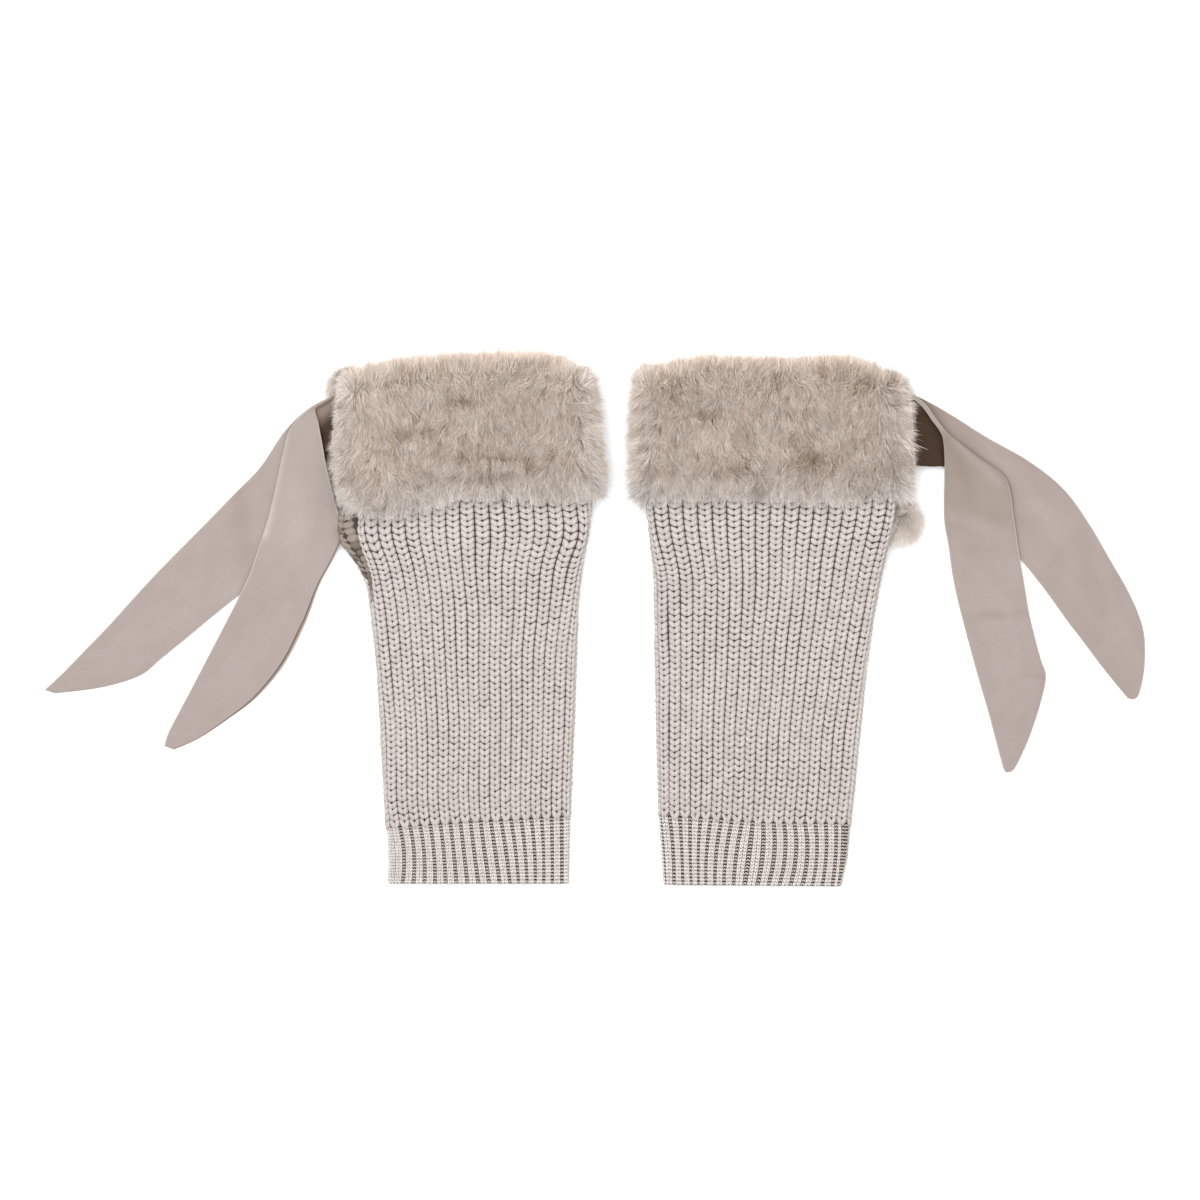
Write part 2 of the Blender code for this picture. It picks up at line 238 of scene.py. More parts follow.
# The tones that stitches draw from, the first of them for stitches in the shade. Over the tones from first
# to last, how each shades the yarn.
YARN_TONES = 8
SHADED_TONES = 2
YARN_SHADES = [
    (0.0, (0.3, 0.25, 0.2)),
    (0.16, (0.54, 0.49, 0.435)),
    (0.28, (0.92, 0.92, 0.92)),
    (1.0, (1.04, 1.04, 1.04)),
]

# The left warmer's left edge is folded: its front layer is rolled, and a strip of the back layer shows
# beside it. At place t from the top of the edge round to its bottom: how far in from the outline, and how
# high over the middle of the tube in half thicknesses.
Turn = namedtuple("Turn", "t across up")
FOLD = rows_of(
    Turn, (0, 10.8, 1), (0.12, 9.2, 0.92), (0.24, 8, 0.62), (0.34, 7.6, 0.32), (0.42, 7, 0.12),
    (0.52, 5.6, 0.06), (0.7, 2.4, 0), (0.84, 0.3, -0.4), (0.92, 0.3, -0.95), (1, 4.6, -1),
)
# It is flat below the first of these heights and folded all the way above the second.
FOLD_FROM = 2.0
FOLD_TO = 42.0
# The front face is pulled in over this width, and its wales by a little more.
FOLD_PULL = 80.0
PULL_GAIN = 1.13
# Near the ribbon, from the first of these heights to the second, the strip comes to reach out further.
FOLD_REACH = 5.5
REACH_HEIGHTS = (36.0, 50.0)

# --- Fur ---

# The skin that the pile grows on, from the hem up the outside and over the fold: how far out from the knit
# towards the pile's reach, the edge that it is measured from, how far above that edge it is, and whether
# pile grows there.
Skin = namedtuple("Skin", "grow edge up pile")
CUFF_SKIN = rows_of(
    Skin, (0.05, "bottom", 9, True), (0.22, "bottom", 8, True), (0.32, "bottom", 11, True),
    (0.36, "bottom", 20, True), (0.36, "bottom", 30, True), (0.36, "middle", -10, True),
    (0.36, "middle", 10, True), (0.36, "top", -26, True), (0.36, "top", -15, True),
    (0.28, "top", -9.5, True), (0.1, "top", -6.4, True), (-0.3, "top", -5.6, True),
    (-0.75, "top", -6.6, True), (-0.85, "knit", 2, False), (-0.6, "knit", 1, False), (0, "knit", 1, False),
    (0.04, "middle", 0, False), (0.04, "bottom", 12, False),
)
SKIN_FACE_STEPS = 24
SKIN_EDGE_STEPS = 8

# How high the pile stands over its skin on each face of the cuff.
PILE_REACH = {"face": 8.0, "back": 5.0, "side": 5.2, "fold": 3.3, "hem": 7.0}
# Straight hairs, and longer bent ones that lie over them.
FRONT_HAIRS = (106000, 12000)
BACK_HAIRS = (24000, 0)
POMPOM_HAIRS = 16000
HAIR_WIDTH = 0.42
# Which way the pile of the pompoms lies: aside and down.
Lean = namedtuple("Lean", "x y")
POMPOM_LEAN = {"left": Lean(0.15, -0.62), "right": Lean(0.0, -0.3)}
# Hairs lie in tufts, this many on each cuff, and lean this far towards the middle of theirs.
TUFTS = 5200
TUFT_PULL = 0.16
# The height of the parting under the upper edge, above which the pile lies up and over the fold.
PARTING = 15.0
# How much paler the pile is over the fold.
FOLD_TONE = {"left": 0.22, "right": 0.12}
# The size of a pompom's core over that of the CAD ball.
POMPOM_CORE = 0.55
# The colours of dark and pale hairs, warm ones and then cool ones: at the root, at a place up the hair and
# at its tip.
# The dark roots are partly the hairs' own colour and partly painted shade deep in the pile.
HairTone = namedtuple("HairTone", "root middle_at middle tip")
FUR_TONES = rows_of(
    HairTone,
    ((0.14, 0.085, 0.052), 0.5, (0.35, 0.24, 0.155), (0.5, 0.375, 0.28)),
    ((0.4, 0.3, 0.225), 0.4, (0.785, 0.675, 0.585), (0.84, 0.765, 0.695)),
    ((0.16, 0.12, 0.096), 0.5, (0.35, 0.3, 0.265), (0.48, 0.435, 0.4)),
    ((0.42, 0.355, 0.31), 0.4, (0.765, 0.705, 0.665), (0.85, 0.82, 0.795)),
)

# Between these heights a cuff's outer side is hidden by its ribbons: nowhere on the right one.
RIBBON_ROOTS = {"left": (62.0, 108.0), "right": (112.0, 112.0)}
# Which way x runs to the outer side of each warmer.
OUTER = {"left": -1.0, "right": 1.0}
# How much further, or less far, the pile stands out at the outer side of each cuff and at its inner side.
SideReach = namedtuple("SideReach", "y outer inner")
SIDE_REACH = {
    "left": rows_of(
        SideReach, (165, 1, 1.05), (100, 1, 1.15), (88, 0.75, 1.15), (72, 0.5, 1.15), (55, 0.45, 1.1),
    ),
    "right": rows_of(
        SideReach, (165, 1, 1.5), (145, 1.3, 1.45), (105, 1.35, 1.3), (96, 1.15, 1.3), (80, 1.55, 1.3),
        (66, 1.9, 1.3),
    ),
}

# Darker marks, where the pile opens or is stroked the other way, and paler ones.
Mark = namedtuple("Mark", "x y wide high tone")
MARKS = {
    "left": rows_of(
        Mark, (-86, 145, 6, 3.5, -0.6), (-123, 156, 8, 2.5, -0.2), (-64, 156.5, 10, 2, -0.2),
        (-47, 160.5, 4, 2, -0.35), (-118.5, 133, 3, 6, -0.4), (-123.5, 123, 8, 4, -0.45),
        (-80, 108.5, 16, 1.6, -0.45), (-55, 107, 16, 1.8, -0.55), (-41, 101, 5, 5, -0.4),
        (-66, 95, 10, 5, -0.25),
    ),
    "right": rows_of(
        Mark, (115.6, 154.5, 11, 3, -0.25), (174, 151.5, 6, 4, -0.3), (150, 157, 9, 2.5, -0.15),
        (60, 150, 16, 3, -0.25), (72, 134.5, 7, 4, -0.5), (72, 121.5, 5, 3.5, 0.4),
        (142, 106, 13, 7, -0.45), (93, 100, 9, 4, -0.45), (108, 84.5, 3, 5, -0.5),
    ),
}

# --- Ribbons ---

# A ribbon section: edges a and b, with its underside's height at each, the arch between and the thickness.
Strip = namedtuple("Strip", "ax ay az bx by bz arch thick", defaults=(0, SATIN))
RIBBON_STEPS = 20
RIBBON_SUBROWS = 8
# How far in from its edges a ribbon is pressed thin.
PRESSED = (0.0, 0.3, 0.9)

# Soft creases: from one end to the other, how deep (a ridge where it is below 0) and how wide.
# Deep creases get painted shade in their troughs, and sharp ridges a painted highlight.
Crease = namedtuple("Crease", "ax ay bx by deep wide")
CREASES = {
    "left_ribbon_back": rows_of(Crease, (-233, 82, -226, 26, 0.8, 6), (-300, 0, -270, -15, -0.3, 8)),
    "left_ribbon_front": rows_of(
        Crease, (-203, 118, -216, 56, -1, 2.6), (-192, 122, -196, 62, -0.55, 13),
        (-192, 112, -186, 56, 0.15, 7), (-222, 10, -200, 14, 0.25, 5),
    ),
    "right_ribbon_back": rows_of(Crease, (262, 108, 300, 62, -0.5, 8), (318, 50, 330, 10, 0.3, 8)),
    "right_ribbon_front": rows_of(
        Crease, (247, 0.3, 287, 3.6, 0.55, 1.8), (247, 5, 287, 8.5, -0.4, 3), (232, 66, 256, 58, -0.5, 4),
        (250, 70, 272, 62, 0.5, 3.5), (234, 50, 268, 52, -0.4, 5), (281, -37.6, 293, -37.6, 0.5, 1.2),
        (231, 116, 244, 84, 0.6, 4), (238, 114, 262, 90, -0.6, 4),
    ),
}
# How dark a ribbon is, in the shade of its own folds and the fur: at millimetres along it, on the sides of
# its edges a and b, and how far across one turns into the other, how softly.
Shade = namedtuple("Shade", "along a b turn soft", defaults=(0.5, 0.5))
SHADES = {
    "left_ribbon_back": rows_of(
        Shade, (0, 0.4, 1, 0.2, 0.18), (10, 0.3, 1, 0.24, 0.18), (18, 0.25, 1, 0.3, 0.2),
        (28, 0.1, 1, 0.4, 0.3), (40, 0, 0),
    ),
    "left_ribbon_front": rows_of(Shade, (0, 0.45, 0.5), (14, 0.2, 0.25), (20, 0, 0.05), (50, 0, 0)),
    "right_ribbon_back": rows_of(
        Shade, (0, 0.9, 1, 0.06, 0.06), (10, 0.4, 1, 0.12, 0.07), (20, 0.22, 1, 0.3, 0.07),
        (28, 0.1, 1, 0.46, 0.1), (45, 0.1, 0.25, 0.5, 0.2), (85, 0.08, 0.14), (120, 0, 0.04),
    ),
    "right_ribbon_front": rows_of(
        Shade, (0, 0, 0.1), (24, 0.05, 0.08), (34, 0.24, 0.2), (85, 0.15, 0.13), (125, 0, 0),
    ),
}
# The lower ply peeps out along edge b: at millimetres along the ribbon, by this much.
Ply = namedtuple("Ply", "along wide")
PLIES = {
    "left_ribbon_front": rows_of(
        Ply, (85, 0.3), (105, 0.9), (135, 1.5), (165, 2.6), (205, 2.2), (240, 1.2), (263, 0.6),
    ),
}

RIBBONS = {
    "left_ribbon_back": rows_of(
        Strip, (-165.9, 146.5, 12, -174.9, 104, 11), (-184, 139, 8, -179, 90, 7.5),
        (-202, 123.5, 3, -185, 77, 3), (-219, 99, 0.4, -193, 62, 0.4), (-236, 81.5, 0, -204, 46, 0),
        (-250, 67, 0, -215.6, 30, 0), (-288.4, 28, 0, -255, -3, 0), (-318, -4.5, 0, -283, -26, 0),
        (-333, -20, 0, -297.5, -37.4, 0), (-347, -34.5, 0, -322, -45, 0), (-359.9, -46.6, 0, -353, -49, 0),
    ),
    "left_ribbon_front": rows_of(
        Strip, (-169.9, 145.4, 14.6, -170.1, 143.6, 14.6, 0, 2),
        (-177, 142, 13.4, -176.6, 140.2, 13.4, 0, 2), (-184.2, 138.2, 12, -182.4, 136.6, 13, 0, 1.8),
        (-193.5, 131, 8.2, -180.6, 128.5, 13.4, 0.8, 1.5), (-200.5, 121, 5.6, -178.2, 116, 13.6, 1),
        (-204, 108, 3.6, -175, 98, 13, 0.8), (-208, 90, 2.4, -169.6, 76, 10, 0.4),
        (-212.5, 70, 1.8, -165.2, 57.5, 7), (-218, 52, 1.7, -169.6, 42, 4),
        (-226, 28.5, 1.7, -180, 22, 1.5), (-237, 6, 1.7, -189.4, -3.5, 0.3), (-249, -17, 0, -203, -30, 0),
        (-262, -42, 0, -221, -51.5, 0), (-272, -61, 0, -240, -66, 0), (-279, -74.5, 0, -259, -78.5, 0),
        (-281.8, -83.4, 0, -275.5, -85.8, 0),
    ),
    "right_ribbon_back": rows_of(
        Strip, (206.2, 146.5, 12, 209.4, 99.6, 12), (217, 141.8, 8, 219, 99.2, 8),
        (233, 133, 3.5, 231, 97.4, 3.5), (256.4, 118.5, 0.6, 240, 79, 0.6), (283, 103.5, 0, 256, 62, 0),
        (305.4, 86, 0, 270, 47.5, 0), (322, 64, 0, 282, 34, 0), (337, 38.5, 0, 295, 17.5, 0),
        (350, 15.5, 0, 308.7, -1.6, 0), (358.6, -7, 0, 319, -15, 0), (359.6, -30, 0, 331, -31, 0),
        (356.2, -48.5, 0, 344, -47, 0), (352.6, -53, 0, 348.4, -52.2, 0),
    ),
    "right_ribbon_front": rows_of(
        Strip, (207.6, 143.4, 14.4, 208.6, 145.8, 14.4, 0, 2.4),
        (214, 137.4, 13.6, 216.2, 139.2, 13.6, 0, 2.2), (219.6, 129.6, 12.5, 222.2, 130.9, 12.5, 0, 2),
        (226.4, 119.5, 11, 231, 120.5, 11, 0.4, 1.8), (228.2, 106, 8.6, 250, 105.5, 8, 1.5, 1.5),
        (228.2, 93, 6.6, 268.6, 91, 5, 1.5), (228.2, 65, 3, 274, 65, 2.6, 0.6), (231, 48, 1, 277, 44, 2.4),
        (234, 26, 0, 280.6, 24, 1), (239.5, 2, 0, 284.6, 1, 0), (247.5, -28, 0, 291.5, -26, 0),
        (252, -44, 0, 295, -38, 0), (257, -61, 0, 291, -57, 0), (262, -80, 0, 284, -78, 0),
        (266.8, -97.5, 0, 276, -95.5, 0), (269, -100.8, 0, 272.6, -100, 0),
    ),
}

# --- Small tools ---


def smooth_step(value, start, end):
    share = np.clip((value - start) / (end - start), 0.0, 1.0)
    return share * share * (3.0 - 2.0 * share)


def wander(x, y, size, seed):
    """A smooth random field, mostly from -1 to 1, with features about size millimetres across."""
    dice = np.random.default_rng(seed)
    total = np.zeros(np.shape(x))
    waves = 7
    for _ in range(waves):
        heading = dice.uniform(0.0, 2.0 * math.pi)
        length = size * dice.uniform(1.3, 2.8)
        phase = dice.uniform(0.0, 2.0 * math.pi)
        total += np.sin((x * math.cos(heading) + y * math.sin(heading)) * 2.0 * math.pi / length + phase)
    return total / math.sqrt(waves)


def unit(vectors):
    return vectors / np.maximum(np.linalg.norm(vectors, axis=-1, keepdims=True), 1e-9)


def curve_through(rows, share):
    """A Catmull-Rom curve through the rows of a table, at a share from 0 to 1 of their count."""
    table = np.array(rows, float)
    place = share * (len(table) - 1)
    first = min(int(place), len(table) - 2)
    t = place - first
    before = table[max(first - 1, 0)]
    start, end = table[first], table[first + 1]
    after = table[min(first + 2, len(table) - 1)]
    return 0.5 * (
        2.0 * start
        + (end - before) * t
        + (2.0 * before - 5.0 * start + 4.0 * end - after) * t * t
        + (3.0 * start - before - 3.0 * end + after) * t * t * t
    )


def column(table, key, value, at):
    """Reads a named column of a table at a place along another of its columns."""
    rows = sorted(table, key=lambda row: getattr(row, key))
    return np.interp(at, [getattr(row, key) for row in rows], [getattr(row, value) for row in rows])


def eased(table, value, y, reach=7.0):
    """As column() over height y, with the corners between the rows of the table rounded off."""
    steps = (-1.0, -0.5, 0.0, 0.5, 1.0)
    return sum(column(table, "y", value, y + step * reach) for step in steps) / len(steps)


def eased_pair(table, side, y):
    """Both of the columns that a warmer's table has beside y."""
    return [eased(table[side], value, y) for value in table[side][0]._fields[1:]]


def at_share(table, side, share):
    """The height of an edge that runs across a piece, at a share of the width."""
    return column(table[side], "s", "y", share)


def side_seed(side, left, step=100):
    """The seed of a warmer's random draws: left on the left one, step more on the right one."""
    return left if side == "left" else left + step


def lift(side, x, y):
    """How far the cloth is raised over the pompom that lies under it."""
    px, py = POMPOMS[side]
    return LIFT * np.exp(-((x - px) ** 2 + (y - py) ** 2) / (2.0 * LIFT_SPREAD**2))


# --- Meshes ---


def make_mesh(name, points, corners, sizes, uv=None, uv_name="OFBake"):
    """A mesh from points in millimetres, the corners of its faces in a row and the size of each face."""
    mesh = bpy.data.meshes.new(name)
    mesh.vertices.add(len(points))
    mesh.vertices.foreach_set("co", (np.asarray(points, np.float32) * METRE).ravel())
    mesh.loops.add(len(corners))
    mesh.loops.foreach_set("vertex_index", np.asarray(corners, np.int32))
    starts = np.concatenate([[0], np.cumsum(sizes)[:-1]]).astype(np.int32)
    mesh.polygons.add(len(sizes))
    mesh.polygons.foreach_set("loop_start", starts)
    mesh.update(calc_edges=True)
    if uv is not None:
        layer = mesh.uv_layers.new(name=uv_name)
        layer.data.foreach_set("uv", np.asarray(uv, np.float32).ravel())
    mesh.validate()
    mesh.shade_smooth()
    return mesh


def store(mesh, name, numbers):
    """Keeps a number for each point of a mesh, which its material reads."""
    mesh.attributes.new(name, "FLOAT", "POINT").data.foreach_set("value", np.asarray(numbers, np.float32))


def linked(name, data):
    made = bpy.data.objects.new(name, data)
    bpy.context.collection.objects.link(made)
    return made


def add_piece(mesh, material, replaced=()):
    piece = linked(mesh.name, mesh)
    piece.data.materials.append(material)
    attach(piece, BODY)
    if replaced:
        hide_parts(*replaced)
    return piece


def turn_outwards(mesh):
    shape = bmesh.new()
    shape.from_mesh(mesh)
    bmesh.ops.recalc_face_normals(shape, faces=shape.faces)
    shape.to_mesh(mesh)
    shape.free()


def hoop_mesh(name, rings):
    """A closed skin through a closed chain of rings. Its UV map holds the share round and along."""
    rows, count = len(rings), len(rings[0])
    row, step = np.meshgrid(np.arange(rows), np.arange(count), indexing="ij")
    after, turn = (row + 1) % rows, (step + 1) % count
    here, there = row * count, after * count
    faces = np.stack([here + step, here + turn, there + turn, there + step], -1)
    grid_u = np.stack([step, step + 1, step + 1, step], -1) / count
    grid_v = np.stack([row, row, row + 1, row + 1], -1) / rows
    uv = np.stack([grid_u, grid_v], -1).reshape(-1, 2)
    mesh = make_mesh(name, np.concatenate(rings), faces.ravel(), np.full(rows * count, 4), uv, "cloth")
    turn_outwards(mesh)
    return mesh


# --- Materials ---


class Look:
    """A material's node graph, built a node at a time."""

    def __init__(self, name, roughness, sheen=0.0, sheen_roughness=0.5, specular=0.3):
        self.material = bpy.data.materials.new(name)
        self.material.use_nodes = True
        self.tree = self.material.node_tree
        self.shader = self.tree.nodes["Principled BSDF"]
        self.fill(self.shader, {"Roughness": roughness, "Specular IOR Level": specular})
        self.fill(self.shader, {"Sheen Weight": sheen, "Sheen Roughness": sheen_roughness})

    def fill(self, node, inputs):
        """Sets a node's inputs, each to a value or to another node's output."""
        for key, value in inputs.items():
            if isinstance(value, (int, float, tuple)):
                node.inputs[key].default_value = value
            else:
                self.tree.links.new(value, node.inputs[key])

    def node(self, kind, inputs, **settings):
        made = self.tree.nodes.new(kind)
        for key, value in settings.items():
            setattr(made, key, value)
        self.fill(made, inputs)
        return made

    def maths(self, operation, first, second=0.0):
        return self.node("ShaderNodeMath", {0: first, 1: second}, operation=operation).outputs[0]

    def times(self, first, second):
        return self.maths("MULTIPLY", first, second)

    def plus(self, first, second):
        return self.maths("ADD", first, second)

    def wave(self, value, length):
        """A sine that starts again after each length of the value."""
        return self.maths("SINE", self.times(value, 2.0 * math.pi / length))

    def uv(self, name):
        """A place on a UV map, and how far it lies across and along."""
        place = self.node("ShaderNodeUVMap", {}, uv_map=name).outputs[0]
        parts = self.node("ShaderNodeSeparateXYZ", {0: place}).outputs
        return place, parts[0], parts[1]

    def where(self):
        return self.node("ShaderNodeTexCoord", {}).outputs["Object"]

    def stored(self, name):
        """A number that the mesh holds for each of its points."""
        return self.node("ShaderNodeAttribute", {}, attribute_name=name).outputs["Fac"]

    def noise(self, place, scale, detail=3.0, roughness=0.5):
        inputs = {"Vector": place, "Scale": scale, "Detail": detail, "Roughness": roughness}
        return self.node("ShaderNodeTexNoise", inputs).outputs["Fac"]

    def stretch(self, place, x, y, z):
        return self.node("ShaderNodeMapping", {"Vector": place, "Scale": (x, y, z)}).outputs[0]

    def ramp(self, value, stops):
        """Colours at places from 0 to 1: stops are (place, (red, green, blue))."""
        made = self.node("ShaderNodeValToRGB", {0: value})
        while len(made.color_ramp.elements) < len(stops):
            made.color_ramp.elements.new(0.5)
        for element, (place, colour) in zip(made.color_ramp.elements, stops):
            element.position = place
            element.color = (*colour, 1.0)
        return made.outputs[0]

    def mix(self, factor, first, second, blend="MIX"):
        first, second = ((*value, 1.0) if isinstance(value, tuple) else value for value in (first, second))
        inputs = {0: factor, 6: first, 7: second}
        return self.node("ShaderNodeMix", inputs, data_type="RGBA", blend_type=blend).outputs[2]

    def tint(self, value, amount, share, colour):
        """A colour, turned towards another one by a share of the amount."""
        return self.mix(self.times(amount, share), value, colour)

    def bump(self, height, strength, distance):
        inputs = {"Height": height, "Strength": strength, "Distance": distance}
        self.fill(self.shader, {"Normal": self.node("ShaderNodeBump", inputs).outputs[0]})

    def colour(self, value):
        self.fill(self.shader, {"Base Color": value})


def yarn_look(name, pale, dark):
    """Plied yarn. Across its map run the stitches' tones, each once round the yarn; up it runs the yarn."""
    look = Look(name, 0.85, sheen=0.15)
    _, across, along = look.uv("OFBake")
    turned = look.times(across, float(YARN_TONES))
    around = look.maths("FRACT", turned)
    tone = look.maths("DIVIDE", look.maths("FLOOR", turned), float(YARN_TONES - 1))
    twist = look.plus(look.times(around, 3.0), look.times(along, 3.0))
    ply = look.plus(look.times(look.wave(twist, 1.0), 0.5), 0.5)
    # Painted shade: each arm darkens towards its ends, where it dives into the cloth.
    ends = look.maths("ABSOLUTE", look.maths("SUBTRACT", along, 0.5))
    ends = look.times(look.maths("POWER", look.times(ends, 2.0), 4.0), 0.4)
    shade = look.mix(1.0, pale, look.ramp(tone, YARN_SHADES), "MULTIPLY")
    shade = look.tint(shade, look.maths("POWER", ply, 3.0), 0.35, dark)
    look.colour(look.mix(ends, shade, dark))
    look.bump(ply, 0.35, 0.0003)
    return look.material


def gap_look(name, base, streak, scale, hem=1.0, edge=(0.0, 0.0, 0.0)):
    """The knit's back, seen between its stitches and coloured dark as painted shade there, and from hem up
    its map the knit's edge.
    """
    look = Look(name, 0.95)
    place = look.where()
    fine = look.noise(look.stretch(place, scale, scale * 2.0, scale), 1.0, 4.0)
    shade = look.tint(base, fine, 0.9, streak)
    _, _, along = look.uv("cloth")
    look.colour(look.mix(look.maths("GREATER_THAN", along, hem), shade, edge))
    look.bump(fine, 0.5, 0.0006)
    return look.material


def fur_look(name):
    """Pile. Across its map run warm and then cool hairs, each from brown to pale; up it runs the hair."""
    look = Look(name, 0.75, sheen=0.25, sheen_roughness=0.4, specular=0.2)
    _, across, along = look.uv("OFBake")
    cool = look.maths("GREATER_THAN", across, 0.5)
    tone = look.maths("FRACT", look.times(across, 2.0))
    stops = [[(0.0, hair.root), (hair.middle_at, hair.middle), (1.0, hair.tip)] for hair in FUR_TONES]
    deep, pale, dull, grey = (look.ramp(along, tone_stops) for tone_stops in stops)
    look.colour(look.mix(cool, look.mix(tone, deep, pale), look.mix(tone, dull, grey)))
    return look.material


def skin_look(name):
    """The cloth that the pile grows on."""
    look = Look(name, 0.95)
    fine = look.noise(look.where(), 900.0, 3.0)
    look.colour(look.mix(fine, (0.16, 0.11, 0.075), (0.3, 0.22, 0.155)))
    look.bump(fine, 0.5, 0.0005)
    return look.material


def satin_look(name):
    """Matte double satin: a fine weave, soft blotches, a low sheen, pale edges, a painted highlight on sharp
    ridges and painted brown shade in folds.
    """
    look = Look(name, 0.55, sheen=0.2, sheen_roughness=0.45, specular=0.22)
    place, across, along = look.uv("cloth")
    blotch = look.noise(look.stretch(place, 22.0, 9.0, 1.0), 1.0, 3.0)
    shade = look.mix(blotch, (0.25, 0.204, 0.183), (0.345, 0.294, 0.272))
    clouds = look.noise(look.stretch(place, 90.0, 60.0, 1.0), 1.0, 2.0)
    shade = look.tint(shade, clouds, 0.4, (0.17, 0.134, 0.118))
    fine = look.noise(place, 420.0, 5.0, 0.8)
    shade = look.tint(shade, fine, 0.4, (0.16, 0.13, 0.117))
    rows, threads = look.wave(along, 0.00055), look.wave(across, 0.0004)
    weave = look.plus(look.times(look.times(rows, threads), 0.25), 0.5)
    shade = look.tint(shade, weave, 0.08, (0.38, 0.335, 0.31))
    # Pale along the edges, and a painted highlight on the sharp ridges.
    shade = look.tint(shade, look.stored("rim_and_ridge_highlight"), 0.6, (0.46, 0.415, 0.385))
    # Light shade is warm and deep shade nearly black.
    depth = look.times(look.stored("shade"), 2.0)
    shade = look.mix(depth, shade, (0.165, 0.122, 0.09))
    look.colour(look.mix(look.maths("SUBTRACT", depth, 1.0), shade, (0.03, 0.013, 0.004)))
    look.bump(look.plus(weave, look.times(blotch, 0.6)), 0.12, 0.0004)
    return look.material


# --- The flattened tubes ---


def leg_span(side, y):
    """The outline and the heights of a leg's tube, which thins out at the ankle to meet the thinner rib."""
    low = (BACK_PILE + GAP) * smooth_step(y, RISE_FROM, RISE_TO)
    high = low + 2.0 * KNIT_WALL + SLIT - ANKLE_THIN * (1.0 - smooth_step(y, *ANKLE_TAPER))
    return *eased_pair(LEG_SIDES, side, y), low, high


def rib_span(side, y):
    high = 2.0 * RIB_WALL + SLIT
    left, right = (column(RIB_SIDES[side], "y", edge, y) for edge in SIDES)
    return left, right, np.zeros(np.shape(y)), np.full(np.shape(y), high)


def cuff_span(side, y, grow):
    """From the knit's surface, at grow 0, to the pile's reach, at 1, and to the slit inside, at -1."""
    left, right, low, high = leg_span(side, y)
    slit = (left + KNIT_WALL, right - KNIT_WALL, low + KNIT_WALL, high - KNIT_WALL)
    reach = (*eased_pair(CUFF_SIDES, side, y), 0.0, CUFF_THICK)
    far = reach if grow > 0.0 else slit
    return tuple(near + (end - near) * abs(grow) for near, end in zip((left, right, low, high), far))


def fold_share(side, y):
    """How far the left edge is folded: not at all on the right warmer, nor low down on the left one."""
    return smooth_step(y, FOLD_FROM, FOLD_TO) if side == "left" else np.zeros(np.shape(y))


def tube_sizes(spans):
    """The radius of a flattened tube's turned edges, the width of a face and the length round an edge."""
    left, right, low, high = spans
    radius = (high - low) / 2.0
    return radius, right - left - 2.0 * radius, math.pi * radius


def edge_place(spans, s):
    """Where arc length s lies round the left edge: from 0 at its top to 1 at its bottom."""
    _, face, turn = tube_sizes(spans)
    s = np.mod(s, 2.0 * (face + turn))
    return np.clip(1.0 - (s - 2.0 * face - turn) / turn, 0.0, 1.0)


def left_edge(side, y, t, radius, out):
    """In from the outline, and up from the tube's middle, at place t from its left edge's top down."""
    nudge = 0.03
    angle = math.pi * t
    across, up = radius * (1.0 - np.sin(angle)), radius * np.cos(angle)
    lean, rise = -np.sin(angle), np.cos(angle)

    def folded(key, place):
        return column(FOLD, "t", key, place)

    fold = fold_share(side, y)
    run = folded("across", t + nudge) - folded("across", t - nudge)
    drop = (folded("up", t + nudge) - folded("up", t - nudge)) * radius
    slope = np.maximum(np.hypot(run, drop), 1e-6)
    across = across + (folded("across", t) - across) * fold
    up = up + (folded("up", t) * radius - up) * fold
    near = smooth_step(y, *REACH_HEIGHTS)
    across = across - fold * FOLD_REACH * near * smooth_step(t, 0.4, 0.75) * smooth_step(1.0 - t, 0.0, 0.1)
    lean, rise = lean + (drop / slope - lean) * fold, rise + (-run / slope - rise) * fold
    return across + lean * out, up + rise * out


def pulled_in(side, y, radius, s):
    """How much further in the front face lies at arc length s, beside the fold."""
    return (FOLD[0].across - radius) * fold_share(side, y) * np.clip(1.0 - s / FOLD_PULL, 0.0, 1.0) ** 1.5


def round_tube(side, spans, s, y, out):
    """Points out from a flattened tube, at arc length s round it from the left end of its front face."""
    left, right, low, high = spans
    radius, face, turn = tube_sizes(spans)
    middle = (high + low) / 2.0
    s = np.mod(s, 2.0 * (face + turn))
    stand = radius + out
    angle = (s - face) / radius
    edge_in, edge_up = left_edge(side, y, edge_place(spans, s), radius, out)
    front = left + radius + s + pulled_in(side, y, radius, s)
    turned = right - radius + stand * np.sin(angle)
    back = right - radius - (s - face - turn)
    on = [s < face, s < face + turn, s < 2.0 * face + turn]
    x = np.select(on, [front, turned, back], left + edge_in)
    z = np.select(on, [middle + stand, middle + stand * np.cos(angle), middle - stand], middle + edge_up)
    return np.stack([x, y, z + lift(side, x, y)], -1)


def wale_arc(side, spans, grooves, wale):
    """The arc length at which a wale coordinate lies, for the grooves (first, last) at that height."""
    radius, face, turn = tube_sizes(spans)
    first, last = grooves
    width = last - first
    front = WALES_FRONT[side]
    rest = (2.0 * face + 2.0 * turn - width) / (WALES_ROUND - front)
    wale = np.mod(wale, WALES_ROUND)
    on_front = width * wale / front
    return first - spans[0] - radius + np.where(wale < front, on_front, width + (wale - front) * rest)


def wale_share(side, wale):
    """Roughly how far across the piece a wale lies, from 0 at its left edge to 1 at its right."""
    front = WALES_FRONT[side]
    wale = np.mod(wale, WALES_ROUND)
    edge = (WALES_ROUND - 2.0 * front) / 4.0
    back = 1.0 - (wale - front - 2.0 * edge) / front
    on_front = (wale + edge) / (front + 2.0 * edge)
    return np.clip(np.where(wale < front + edge, on_front, back), 0.0, 1.0)


